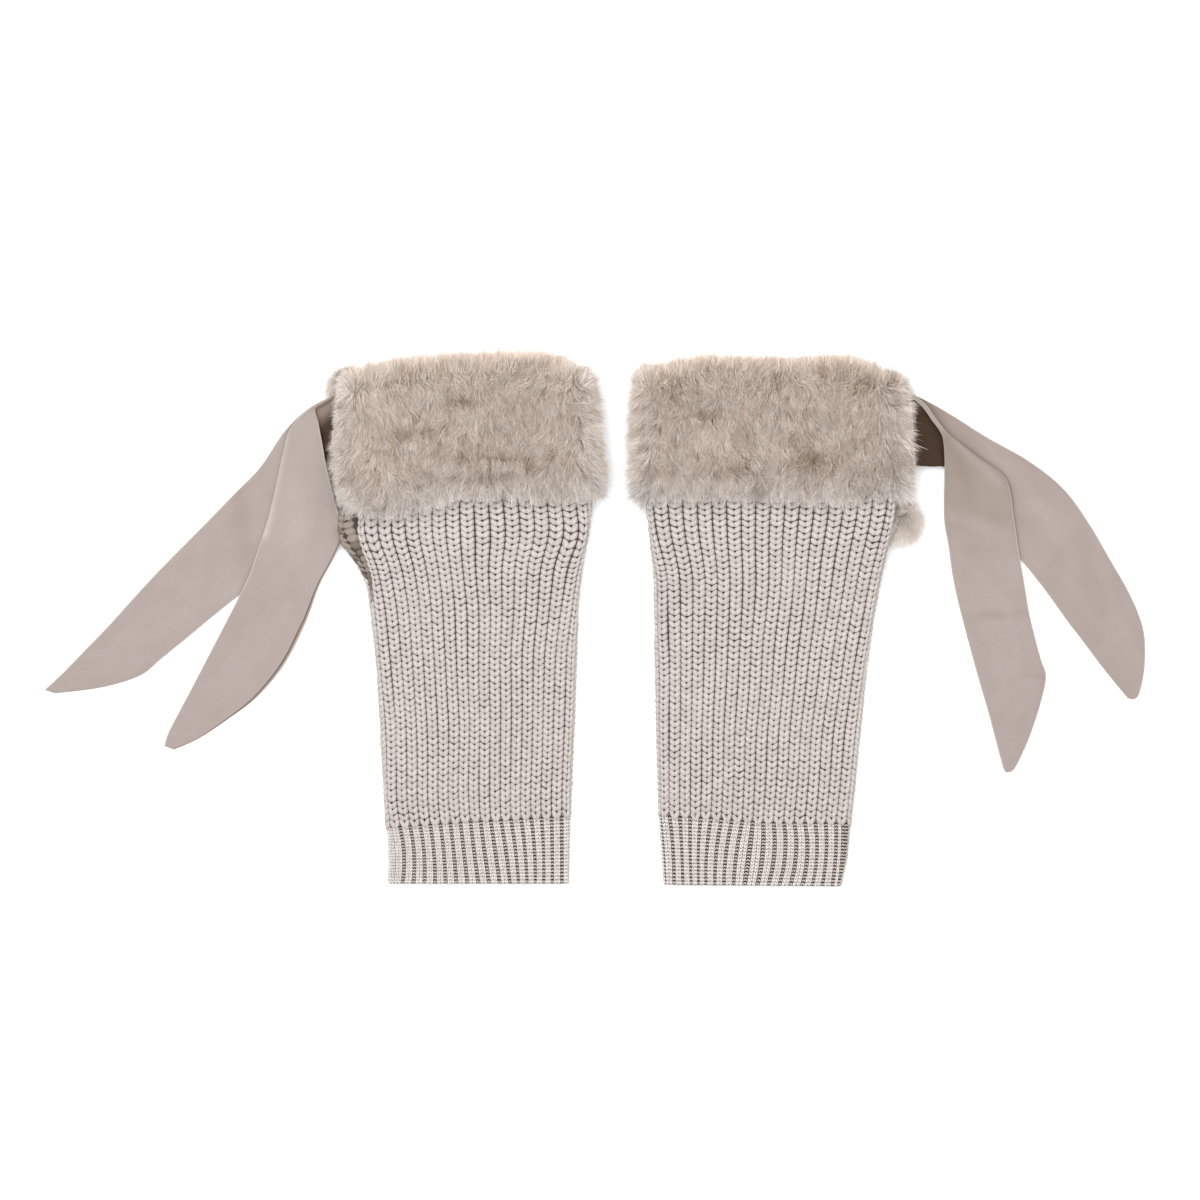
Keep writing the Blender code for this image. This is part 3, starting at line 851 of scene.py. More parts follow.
def leg_arc(side, spans, wale, y):
    """The arc length at which a wale of the leg lies, without what the fold beside it pulls in."""
    radius, _, _ = tube_sizes(spans)
    first, last = eased_pair(LEG_GROOVES, side, y)
    before = PULL_GAIN * pulled_in(side, y, radius, first - spans[0] - radius)
    return wale_arc(side, spans, (first - before, last), wale)


def leg_point(side, wale, y, out):
    spans = leg_span(side, y)
    return round_tube(side, spans, leg_arc(side, spans, wale, y), y, out)


def rib_point(side, wale, y, out):
    """A point of the ankle, whose ribs start at the wales of the leg and sway on their way to the hem."""
    spans = rib_span(side, y)
    share = wale_share(side, wale)
    seam, hem = at_share(SEAM, side, share), at_share(HEM, side, share)
    down = np.clip((seam - y) / (seam - hem), 0.0, 1.0)
    arc = wale_arc(side, spans, eased_pair(LEG_GROOVES, side, seam), wale)
    # The sway fades out over the wales that turn under at both sides.
    front = WALES_FRONT[side]
    wale = np.mod(wale, WALES_ROUND)
    before, after = np.minimum(WALES_ROUND - wale, WALES_ROUND), wale - front
    counted = np.where(wale <= front, wale / front, np.where(before < after, 0.0, 1.0))
    fade = np.where(wale <= front, 1.0, np.clip(1.0 - np.minimum(before, after) / SWAY_FADE, 0.0, 1.0))
    middle, end = (column(RIB_SWAY[side], "s", key, counted) for key in ("middle", "hem"))
    sway = middle * 4.0 * down * (1.0 - down) + end * down * (2.0 * down - 1.0)
    # The rib dips under the last row of the leg. Its crown fades out through the wall to a plain inside.
    outside = np.clip(1.0 + out / RIB_WALL, 0.0, 1.0)
    dip = RIB_DIP * smooth_step(y - seam, -RIB_TUCK, 0.5 * RIB_TUCK) * outside
    crown = RIB_CROWN * (2.0 * np.abs(np.mod(wale, 1.0) - 0.5)) ** 2 * outside
    return round_tube(side, spans, arc + fade * sway, y, out - crown - dip)


# --- Stitches ---


def arm_faces(arm):
    """Corners, face sizes, and map corners (share round, share along) of one closed arm of a stitch."""
    corners, sizes, uv = [], [], []
    tips, ends = arm.rings * arm.sides, arm.rings + 1
    last = tips - arm.sides
    for side in range(arm.sides):
        turn = (side + 1) % arm.sides
        a, b = side / arm.sides, (side + 1) / arm.sides
        corners += [tips, turn, side]
        uv += [((a + b) / 2, 0.0), (b, 1 / ends), (a, 1 / ends)]
        for ring in range(arm.rings - 1):
            low, high = ring * arm.sides, (ring + 1) * arm.sides
            v, w = (ring + 1) / ends, (ring + 2) / ends
            corners += [low + side, low + turn, high + turn, high + side]
            uv += [(a, v), (b, v), (b, w), (a, w)]
        corners += [tips + 1, last + side, last + turn]
        uv += [((a + b) / 2, 1.0), (a, arm.rings / ends), (b, arm.rings / ends)]
        sizes += [3, *[4] * (arm.rings - 1), 3]
    return np.array(corners), np.array(sizes), np.array(uv)


def mirror_faces(sizes):
    """The order that turns each face round, for the arms of the other hand."""
    starts = np.cumsum(sizes) - sizes
    return np.concatenate([start + np.arange(size)[::-1] for start, size in zip(starts, sizes)])


def arm_rings(arm):
    """For each corner of an arm: how far along it lies, how fat the arm is there, and the way round it."""
    rings = RINGS[arm.rings]
    share = np.array([ring.share for ring in rings for _ in range(arm.sides)] + [0.0, 1.0])
    fat = np.array([ring.fat for ring in rings for _ in range(arm.sides)] + [0.0, 0.0])
    around = np.tile(np.arange(arm.sides), arm.rings) * 2.0 * math.pi / arm.sides + math.pi / 2.0
    return share, fat, np.concatenate([around, [0.0, 0.0]])


def arm_tones(shaded, dice):
    """The tone of each arm: one of the first where it lies in the shade, else any of the others."""
    count = len(shaded)
    lit = dice.integers(SHADED_TONES, YARN_TONES, count)
    deep = dice.uniform(size=count) < np.maximum(2.0 * shaded - 1.0, 0.6 * shaded)
    dim = dice.uniform(size=count) < 2.0 * shaded
    return np.where(dim, np.where(deep, 0, SHADED_TONES - 1), lit)


def arms_mesh(name, arm, points, hand, tone):
    """Arms of both hands as one mesh, each in its tone's strip of the map."""
    corners, sizes, uv = arm_faces(arm)
    mirrored = mirror_faces(sizes)
    starts = np.arange(len(hand))[:, None] * (arm.rings * arm.sides + 2)
    pick = np.where(hand[:, None] > 0.0, corners, corners[mirrored])
    uv_pick = np.where(hand[:, None, None] > 0.0, uv, uv[mirrored])
    u = (tone[:, None] + 0.04 + 0.92 * uv_pick[..., 0]) / YARN_TONES
    uv_all = np.stack([u, uv_pick[..., 1]], -1).reshape(-1, 2)
    return make_mesh(name, points, (pick + starts).ravel(), np.tile(sizes, len(hand)), uv_all)


def stamp_arms(name, point_at, arm, wales, rows_y, pitch_y, width, seed, shaded=0.0, slack=0.0):
    """Sets a pair of arms at each (wale, y): wales in wale coordinates, width of the pair in the same. Each
    arm's own number in shaded, from 0 to 1, is how deep it lies in the shade, and in slack how much thinner
    it is."""
    dice = np.random.default_rng(seed)
    count = 2 * len(wales)
    shaded, slack = np.broadcast_to(shaded, count), np.broadcast_to(slack, count)
    wales, rows_y, pitch_y = (np.repeat(values, 2) for values in (wales, rows_y, pitch_y))
    hand = np.tile([-1.0, 1.0], count // 2)
    plump = 1.0 + dice.normal(0.0, PLUMP_SPREAD, count) - slack
    raised = dice.normal(0.0, RAISED_SPREAD, count) * arm.thick
    slip = dice.normal(0.0, SLIP_SPREAD, count) * pitch_y
    share, fat, around = arm_rings(arm)
    # The arm's own line, on a flat patch of cloth in millimetres: across, up and depth.
    step = 0.25
    here, beside = (point_at(wales + hand * away, rows_y, np.zeros(count)) for away in (0.0, step))
    wale_mm = np.maximum(np.linalg.norm(beside - here, axis=-1) / step, 0.5)
    half = arm.half * (0.5 * width * wale_mm / arm.half) ** STRETCH_SHARE
    centred = share - 0.5
    ends = np.where(centred < 0.0, arm.near_end, arm.far_end)
    depth = arm.middle + (ends - arm.middle) * np.abs(2.0 * centred) ** 2.5
    ring_out = plump[:, None] * arm.thick * fat * np.sin(around)
    ring_up = (plump * pitch_y)[:, None] * arm.tall * fat * np.cos(around)
    across_mm = half[:, None] * (arm.near + (arm.far - arm.near) * share)
    up_mm = centred * arm.climb * pitch_y[:, None] + ring_up + slip[:, None]
    wale = wales[:, None] + hand[:, None] * across_mm / wale_mm[:, None]
    out = ring_out - depth + raised[:, None]
    points = point_at(wale.ravel(), (rows_y[:, None] + up_mm).ravel(), out.ravel())
    points[:, 2] = np.maximum(points[:, 2], 0.0)
    return arms_mesh(name, arm, points, hand, arm_tones(shaded, dice))


def row_bend(side, wale, y):
    """How far a row is bent along its wale, to stay square to the slanting wales near both sides."""
    step, front = 2.0, WALES_FRONT[side]
    above, below, here = (eased_pair(LEG_GROOVES, side, y + up) for up in (step, -step, 0.0))
    first_lean, last_lean = ((high - low) / (2.0 * step) for high, low in zip(above, below))
    pitch = (here[1] - here[0]) / front
    half_back = 0.5 * (WALES_ROUND - front)
    wale = np.mod(wale + half_back, WALES_ROUND) - half_back
    near_first, near_last = (np.exp(-np.abs(wale - end) * pitch / BEND_WIDTH) for end in (0, front))
    return BEND_WIDTH * (first_lean * near_first - last_lean * near_last) * smooth_step(y, *BEND_HEIGHTS)


def every_row(wales, count):
    """Each stitch of the wales: its wale, and the number of its row."""
    wale, row = np.meshgrid(np.array(wales, float), np.arange(count) + 0.5, indexing="ij")
    return wale.ravel(), row.ravel()


def leg_shade(side, spans, wale, y):
    """How deep an arm lies in shade, in the strip of the back layer beside the fold, under the ribbon."""
    t = edge_place(spans, leg_arc(side, spans, wale, y))
    strip = smooth_step(t, 0.2, 0.34)
    beside = strip * smooth_step(1.0 - t, 0.44, 0.56)
    under = strip * smooth_step(1.0 - t, 0.0, 0.04) * smooth_step(y, 20.0, 30.0)
    dark = (0.6 + 0.3 * smooth_step(-y, -46.0, -30.0)) * beside
    return fold_share(side, y) * np.maximum(dark, 0.5 * under)


def leg_stitches(side, wales, arm, name, seed):
    """The arms of every stitch of the given wales, from the seam up to under the fur."""
    wale, row = every_row([wale + 0.5 for wale in wales], LEG_ROWS)
    seam = at_share(SEAM, side, wale_share(side, wale)) + GAP
    pitch = (STITCH_TOP - seam) / LEG_ROWS
    y = seam + pitch * row
    y = y + 0.5 * wander(wale * 7.0, y, 60.0, seed + 1) + 0.35 * wander(wale * 37.0, y, 40.0, seed + 2)
    wale = wale + 0.03 * wander(wale * 11.0, y, 30.0, seed + 3)
    spans = leg_span(side, y)
    shaded = np.stack([leg_shade(side, spans, wale + hand, y) for hand in (-0.25, 0.25)], -1).ravel()
    slack = np.repeat(SLACK * smooth_step(y, *SLACK_HEIGHTS), 2)

    def point_at(at, height, out):
        # The points of the lowest row hang over the ankle.
        middle = 1.0 - 2.0 * np.abs(np.mod(at, 1.0) - 0.5)
        above = height - at_share(SEAM, side, wale_share(side, at))
        hang = LAST_ROW_HANG * (middle - 0.35) * (1.0 - smooth_step(above, 0.5, 3.5))
        return leg_point(side, at, height - hang + row_bend(side, at, height), out)

    return stamp_arms(name, point_at, arm, wale, y, pitch, 1.0, seed, shaded, slack)


def edited(wales, more, fewer):
    """The wales without those left out, and with those added."""
    return [wale for wale in wales if min([abs(wale - out) for out in fewer] + [1.0]) > 0.01] + more


def rib_stitches(side, wales, arm, width, name, seed):
    """The arms of every stitch of the ankle's given wales."""
    wale, row = every_row(wales, RIB_ROWS)
    share = wale_share(side, wale)
    hem = at_share(HEM, side, share) + 0.6
    pitch = (at_share(SEAM, side, share) + RIB_TUCK - hem) / RIB_ROWS
    return stamp_arms(name, partial(rib_point, side), arm, wale, hem + pitch * row, pitch, width, seed)


# --- Knitted pieces ---

# The skin under the stitches: how deep it lies, its rows up a piece, and its steps round it, with finer ones
# over the wales at the left edge.
LEG_SKIN_DEPTH = 2.6
RIB_SKIN_DEPTH = 1.5
LEG_SKIN_ROWS = 36
RIB_SKIN_ROWS = 10
SKIN_STEPS = 76
EDGE_STEPS = 30
EDGE_WALES = 3.2


def tube_skin(name, side, point_at, lower, upper, depth, wall, count):
    """The closed double wall under the stitches: outside at depth, inside at wall."""
    # Beside the left edge, where the left leg is folded, the steps are finer.
    finer = WALES_ROUND - EDGE_WALES * (np.arange(EDGE_STEPS) + 0.5) / EDGE_STEPS
    wale = np.sort(np.concatenate([np.arange(SKIN_STEPS) / SKIN_STEPS * WALES_ROUND, finer]))
    share = wale_share(side, wale)
    low, high = lower(share), upper(share)
    levels = [(row, depth) for row in range(count + 1)] + [(row, wall) for row in range(count, -1, -1)]
    deep = np.ones(len(wale))
    rings = [point_at(side, wale, low + (high - low) * row / count, -level * deep) for row, level in levels]
    return hoop_mesh(name, rings)


def front_and_back(side):
    """The wales that show from above, round both turned edges, and the rest."""
    front = WALES_FRONT[side]
    seen = [wale % WALES_ROUND for wale in range(-3, front + 3)]
    return seen, [wale for wale in range(WALES_ROUND) if wale not in seen]


def add_leg(side, yarn, gap):
    mesh = tube_skin(
        f"{side}_leg_cloth",
        side,
        leg_point,
        lambda share: at_share(SEAM, side, share) + RIB_TUCK,
        lambda share: np.full(np.shape(share), LEG_TOP - 1.0),
        LEG_SKIN_DEPTH,
        KNIT_WALL,
        LEG_SKIN_ROWS,
    )
    cloth = add_piece(mesh, gap, [f"{side}_leg"])
    stitches = []
    seed = side_seed(side, 100)
    for part, wales, arm in zip(("front", "back"), front_and_back(side), (LEG_ARM, LEG_BACK_ARM)):
        made = leg_stitches(side, wales, arm, f"{side}_leg_stitches_{part}", seed)
        stitches.append(add_piece(made, yarn))
        seed += 10
    return cloth, stitches


def add_rib(side, yarn, purl_yarn, gap):
    mesh = tube_skin(
        f"{side}_ankle_cloth",
        side,
        rib_point,
        lambda share: at_share(HEM, side, share) + 0.5,
        lambda share: at_share(SEAM, side, share) + RIB_TUCK - GAP,
        RIB_SKIN_DEPTH,
        RIB_WALL,
        RIB_SKIN_ROWS,
    )
    cloth = add_piece(mesh, gap, [f"{side}_ankle_rib"])
    seed = side_seed(side, 300)
    stitches = []
    edge = RIB_EDGES[side]
    for part, wales, arm in zip(("front", "back"), front_and_back(side), (RIB_ARM, RIB_BACK_ARM)):
        seed += 10
        fine = [wale + 0.5 + hand * FINE_OFFSET for hand in (-1.0, 1.0) for wale in wales]
        if part == "front":
            fine = edited(fine, edge.more_fine, edge.no_fine)
            wales = edited(wales, edge.more_purl, edge.no_purl)
        made = rib_stitches(side, fine, arm, FINE_WIDTH, f"{side}_ankle_stitches_{part}", seed)
        stitches.append(add_piece(made, yarn))
        made = rib_stitches(side, wales, PURL_ARM, PURL_WIDTH, f"{side}_ankle_purl_{part}", seed + 5)
        stitches.append(add_piece(made, purl_yarn))
    return cloth, stitches


# --- Fur ---


def skin_stations():
    """Steps round a flattened tube: share of the width, and direction out of its turned edge."""
    face = np.arange(SKIN_FACE_STEPS) / SKIN_FACE_STEPS
    turned = math.pi * np.arange(SKIN_EDGE_STEPS) / SKIN_EDGE_STEPS
    up = math.pi / 2
    share = np.concatenate([face, turned * 0.0 + 1.0, 1.0 - face, turned * 0.0])
    return share, np.concatenate([face * 0.0 + up, up - turned, face * 0.0 - up, -up - turned])


def skin_ring(side, turn):
    share, angle = skin_stations()
    bottom, top = at_share(CUFF_BOTTOM, side, share), at_share(CUFF_TOP, side, share)
    edges = {"bottom": bottom, "top": top, "middle": (bottom + top) / 2.0, "knit": share * 0.0 + LEG_TOP}
    y = edges[turn.edge] + turn.up
    left, right, low, high = cuff_span(side, y, turn.grow)
    half = (high - low) / 2.0
    x = left + half + share * (right - left - 2.0 * half) + half * np.cos(angle)
    z = (low + high) / 2.0 + half * np.sin(angle) + lift(side, x, y)
    return np.stack([x, y, z], -1)


def face_normals(triangles):
    return np.cross(triangles[:, 1] - triangles[:, 0], triangles[:, 2] - triangles[:, 0])


def grown_skin(side):
    """Triangles of the skin that pile grows on, as corner points in millimetres, turned outwards."""
    rows = [skin_ring(side, turn) for turn in CUFF_SKIN if turn.pile]
    triangles = []
    for low, high in zip(rows, rows[1:]):
        low_turn, high_turn = np.roll(low, -1, axis=0), np.roll(high, -1, axis=0)
        triangles.append(np.stack([low, low_turn, high_turn], 1))
        triangles.append(np.stack([low, high_turn, high], 1))
    triangles = np.concatenate(triangles)
    centre = triangles.mean(axis=1)
    inwards = np.sum(face_normals(triangles) * (centre - centre.mean(axis=0)), axis=-1) < 0.0
    return triangles[:, ::-1] if inwards.mean() > 0.5 else triangles


def scatter(triangles, count, dice):
    """Evenly spread points on triangles, as many in each as its area asks, with the normals."""
    normal = face_normals(triangles)
    area = np.linalg.norm(normal, axis=-1) * 0.5
    reach = np.cumsum(area) / area.sum()
    pick = np.searchsorted(reach, (np.arange(count) + dice.uniform(size=count)) / count)
    pick = np.minimum(pick, len(triangles) - 1)
    first, second = dice.uniform(size=(2, count))
    over = first + second > 1.0
    first, second = np.where(over, 1.0 - first, first), np.where(over, 1.0 - second, second)
    start, a, b = np.moveaxis(triangles[pick], 1, 0)
    return start + (a - start) * first[:, None] + (b - start) * second[:, None], unit(normal[pick])


def hair_mesh(name, roots, middle, tip, width, tone, lit, dice):
    """Hairs as flat blades that taper to their tips: straight where middle is None, else bent there."""
    count = len(roots)
    along = unit(tip - roots)
    flat = unit(np.cross(along, dice.normal(size=roots.shape) + [0.0, 0.0, 2.5]))
    half = (width * 0.5)[:, None] * flat
    edge, up, pattern, sizes = [-1, 1, 0], [0.0, 0.0, 1.0], [0, 1, 2], [3]
    rows = [roots - half, roots + half, tip]
    if middle is not None:
        edge, up = [-1, 1, 1, -1, -1, 1, 0], [0.0, 0.0, 0.5, 0.5, 0.5, 0.5, 1.0]
        pattern, sizes = [0, 1, 3, 2, 2, 3, 4], [4, 3]
        rows = [roots - half, roots + half, middle - half, middle + half, tip]
    points = np.stack(rows, 1)
    points[..., 2] = np.maximum(points[..., 2], 0.2)
    corners = (np.arange(count)[:, None] * len(rows) + np.array(pattern)).ravel()
    u = tone[:, None] + np.array(edge) * 0.004
    v = 0.01 + 0.98 * np.array(up) * lit[:, None]
    uv = np.stack([u, v], -1).reshape(-1, 2)
    return make_mesh(name, points.reshape(-1, 3), corners, np.tile(sizes, count), uv)


def comb_cuff(side, points, normals, dice):
    """Which way the pile lies at each root: down the cuff, up over its fold, and aside in swirls."""
    x, y = points[:, 0], points[:, 1]
    left, right = eased_pair(CUFF_SIDES, side, y)
    share = np.clip((x - left) / (right - left), 0.0, 1.0)
    top, bottom = at_share(CUFF_TOP, side, share), at_share(CUFF_BOTTOM, side, share)
    seed = side_seed(side, 500)
    parting = top - PARTING + 3.0 * wander(x, y, 25.0, seed) + dice.normal(0.0, 2.0, len(x))
    swirl = 0.45 * wander(x, y, 24.0, seed + 1) + 0.4 * wander(x, y, 7.0, seed + 2)
    swirl = swirl + dice.normal(0.0, 0.25, len(x))
    # Towards the sides of the cuff the pile lies outwards.
    outwards = smooth_step(np.abs(share - 0.5), 0.38, 0.5) * np.sign(share - 0.5)
    outwards = outwards * np.where(normals[:, 2] > -0.3, 0.9, 0.0)
    lays = []
    for way, turned in ((np.array([0.0, -1.0, -0.1]), swirl), (np.array([0.0, 1.0, -0.6]), 0.4 * swirl)):
        lay = way * np.cos(turned)[:, None] + np.cross(normals, way) * np.sin(turned)[:, None]
        lay = lay + np.array([1.0, 0.0, 0.0]) * outwards[:, None]
        lay = lay - normals * np.sum(lay * normals, axis=-1, keepdims=True)
        lays.append(unit(lay + 1e-6))
    return lays, parting, share, (y - bottom) / (top - bottom)


def pile_reach(out):
    """How high the pile stands over its skin, by the way that the skin faces there."""
    aside, up = out[:, 0] ** 2, out[:, 2] ** 2
    upright = np.where(out[:, 2] > 0.0, PILE_REACH["face"], PILE_REACH["back"])
    along = np.where(out[:, 1] > 0.0, PILE_REACH["fold"], PILE_REACH["hem"])
    return aside * PILE_REACH["side"] + up * upright + out[:, 1] ** 2 * along


def side_reach(side, roots, out):
    """The change of the pile's reach at the sides of a cuff."""
    outer, inner = eased_pair(SIDE_REACH, side, roots[:, 1])
    outwards = OUTER[side] * out[:, 0] > 0.0
    return 1.0 + (np.where(outwards, outer, inner) - 1.0) * smooth_step(np.abs(out[:, 0]), 0.1, 0.6)


def cuff_tone(side, points, share, climb, dice):
    """From brown to pale: in patches, paler over the fold, darker at the sides and where the pile parts."""
    x, y = points[:, 0], points[:, 1]
    seed = side_seed(side, 700)
    tone = 0.66 + 0.09 * wander(x, y * 1.6, 16.0, seed) + 0.08 * wander(x * 1.8, y, 7.0, seed + 1)
    tone = tone + FOLD_TONE[side] * smooth_step(climb, 0.76, 0.88) + dice.normal(0.0, 0.17, len(x))
    tone = tone - 0.28 * smooth_step(climb, 0.93, 0.99)
    return tone - 0.24 * smooth_step(np.abs(share - 0.5), 0.38, 0.49)


def marked(side, points):
    """How much darker, or paler above 0, the marks of the pile make it."""
    x, y = points[:, 0], points[:, 1]
    away = [((x - mark.x) / mark.wide) ** 2 + ((y - mark.y) / mark.high) ** 2 for mark in MARKS[side]]
    return sum(mark.tone * np.exp(-each) for mark, each in zip(MARKS[side], away))


def coolness(share, climb, normals):
    """The share of greyer hairs: more at the hem, at the sides and underneath."""
    aside = smooth_step(np.abs(share - 0.5), 0.36, 0.5)
    cool = 0.2 + 0.7 * smooth_step(1.0 - climb, 0.68, 0.96) + 0.6 * aside + 0.3 * (normals[:, 2] < 0.0)
    return cool * (1.0 - 0.4 * smooth_step(climb, 0.86, 0.95))


def nearest(points, others):
    """For each point, the index of the nearest of the others."""
    tree = KDTree(len(others))
    for index, other in enumerate(others):
        tree.insert(other, index)
    tree.balance()
    return np.array([tree.find(point)[1] for point in points])


def behind_ribbons(side, roots, out):
    """Which hairs grow low down on the outer side of a cuff, in the shade of its ribbons."""
    low, high = RIBBON_ROOTS[side]
    return (OUTER[side] * out[:, 0] > 0.25) & (out[:, 2] < 0.0) & (roots[:, 1] > low) & (roots[:, 1] < high)


def grow_pile(side, part, kind, triangles, tufts, count, fur):
    """Hairs of one kind on one face of a cuff, each leaning towards the middle of its tuft."""
    dice = np.random.default_rng(side_seed(side, 900) + len(part) + 20 * len(kind))
    roots, out = scatter(triangles, count, dice)
    middles, lays, parting, tone, cool = tufts
    tuft = nearest(roots, middles)
    marks = marked(side, roots)
    hidden = behind_ribbons(side, roots, out)
    uneven = 1.0 + 0.12 * wander(roots[:, 0], roots[:, 1], 5.0, 40) + dice.uniform(-0.2, 0.1, count)
    reach = pile_reach(out) * uneven * (1.0 + 0.7 * np.minimum(marks, 0.0)) * side_reach(side, roots, out)
    # Behind the ribbons the pile stands out flat and reaches over to them.
    stand = np.where(hidden[:, None], [OUTER[side] * 1.6, 0.2, -0.3], out) * reach[:, None]
    # Round the parting, hairs of both ways mix.
    upwards = roots[:, 1] + dice.normal(0.0, 5.0, count) > parting[tuft]
    lay = np.where(upwards[:, None], lays[1][tuft], lays[0][tuft])
    drape = lay * (reach * 0.75)[:, None] + dice.normal(0.0, 0.24, (count, 3)) * reach[:, None]
    gather = (middles[tuft] - roots) * TUFT_PULL
    tip = roots + stand + drape + gather
    middle = roots + stand * 0.65 + drape * 0.3 + gather * 0.3 if kind == "guard" else None
    # Behind the ribbons the hairs get painted shade: a darker tone, and only the dark root end of their
    # colours.
    shade = tone[tuft] + 1.9 * marks - np.where(hidden, 0.9, 0.0)
    shade = np.clip(shade + dice.normal(0.0, 0.32, count), 0.03, 0.97) / 2.0
    shade = shade + 0.5 * (dice.uniform(size=count) < cool[tuft])
    width = HAIR_WIDTH * dice.uniform(0.7, 1.3, count)
    lit = np.where(hidden, 0.15, 1.0)
    made = hair_mesh(f"{side}_cuff_{kind}_hair_{part}", roots, middle, tip, width, shade, lit, dice)
    return add_piece(made, fur)


def add_cuff(side, fur, skin):
    mesh = hoop_mesh(f"{side}_cuff_cloth", [skin_ring(side, turn) for turn in CUFF_SKIN])
    cloth = add_piece(mesh, skin, [f"{side}_fur_cuff"])
    triangles = grown_skin(side)
    facing = unit(face_normals(triangles))[:, 2] > -0.3
    dice = np.random.default_rng(side_seed(side, 850, 10))
    middles, out = scatter(triangles, TUFTS, dice)
    lays, parting, share, climb = comb_cuff(side, middles, out, dice)
    tone = cuff_tone(side, middles, share, climb, dice)
    tufts = (middles, lays, parting, tone, coolness(share, climb, out))
    hairs = [
        grow_pile(side, part, kind, triangles[keep], tufts, count, fur)
        for part, keep, counts in (("front", facing, FRONT_HAIRS), ("back", ~facing, BACK_HAIRS))
        for kind, count in zip(("under", "guard"), counts)
        if count
    ]
    return cloth, hairs


def add_pompom(side, fur, skin):
    """A fur ball grown on a smaller one of the CAD ball's form."""
    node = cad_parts[f"{side}_pompom"]
    ball = np.empty(len(node.data.vertices) * 3)
    node.data.vertices.foreach_get("co", ball)
    ball = ball.reshape(-1, 3) / METRE
    centre = (ball.min(axis=0) + ball.max(axis=0)) / 2.0
    core = centre + (ball - centre) * POMPOM_CORE
    corners = [list(face.vertices) for face in node.data.polygons]
    mesh = make_mesh(f"{side}_pompom_core", core, np.concatenate(corners), [len(face) for face in corners])
    add_piece(mesh, skin, [f"{side}_pompom"])
    triangles = np.array([core[[face[0], b, c]] for face in corners for b, c in zip(face[1:], face[2:])])
    dice = np.random.default_rng(side_seed(side, 1100))
    roots, out = scatter(triangles, POMPOM_HAIRS, dice)
    count = len(roots)
    reach = np.linalg.norm((roots - centre) * (1.0 / POMPOM_CORE - 1.0), axis=-1)
    reach = reach * dice.uniform(0.7, 1.1, count)
    # Its pile lies down and outwards from under the cuff.
    lean = np.array([*POMPOM_LEAN[side], 0.0])
    way = out * [1.0, 1.0, 0.85] + lean + dice.normal(0.0, 0.25, roots.shape)
    tip = roots + way * reach[:, None] * 0.92
    patch = wander(roots[:, 0], roots[:, 1], 7.0, 1300)
    tone = np.clip(0.72 + 0.14 * patch + dice.normal(0.0, 0.2, count), 0.03, 0.97) / 2.0
    tone = tone + 0.5 * (dice.uniform(size=count) < 0.65)
    width = HAIR_WIDTH * dice.uniform(0.7, 1.2, count)
    made = hair_mesh(f"{side}_pompom_pile", roots, None, tip, width, tone, np.ones(count), dice)
    add_piece(made, fur)


# --- Ribbons ---


def off_line(x, y, crease):
    """How near points are to a crease, from 0 to 1 on its line, fading past its ends."""
    way = np.array([crease.bx - crease.ax, crease.by - crease.ay])
    long = np.hypot(*way)
    along = ((x - crease.ax) * way[0] + (y - crease.ay) * way[1]) / long
    aside = ((x - crease.ax) * way[1] - (y - crease.ay) * way[0]) / long
    past = np.maximum(np.maximum(-along, along - long), 0.0)
    return np.exp(-((aside / crease.wide) ** 2) - (past / (2.0 * crease.wide)) ** 2)


def section_places(name, span, narrow, along):
    """How far from edge a the points of a ribbon's section lie, and how far its lower ply peeps out."""
    pressed = np.array(PRESSED) * narrow
    ply = column(PLIES[name], "along", "wide", along) * narrow if name in PLIES else 0.0
    edge_b = pressed[::-1]
    if ply:
        edge_b = [ply + 1.0 * narrow, ply + 0.25 * narrow, ply, ply - 0.2 * narrow, ply * 0.4, 0.0]
    inner = np.linspace(pressed[-1], span - edge_b[0], RIBBON_STEPS + 1)[1:-1]
    return np.concatenate([pressed, inner, span - np.array(edge_b)]), ply


def ribbon_shade(name, along, share, edge, near):
    """How much painted shade a ribbon has across a section, and how pale it is: along its edges, and in a
    painted highlight on its sharp ridges.
    """
    shade_a, shade_b, turn, soft = (column(SHADES[name], "along", key, along) for key in Shade._fields[1:])
    shade = shade_a + (shade_b - shade_a) * smooth_step(share, turn - soft, turn + soft)
    # Painted shade in the troughs of the creases.
    shade = shade + sum(0.14 * max(deep, 0.0) * share_of for deep, share_of in near)
    # Pale along the edges, and a painted highlight on the sharp ridges.
    rim_and_ridge_highlight = 1.0 - smooth_step(edge, 0.25, 0.85)
    return shade, np.maximum(rim_and_ridge_highlight, sum(max(-1.6 * deep - 0.6, 0.0) * share_of for deep, share_of in near))


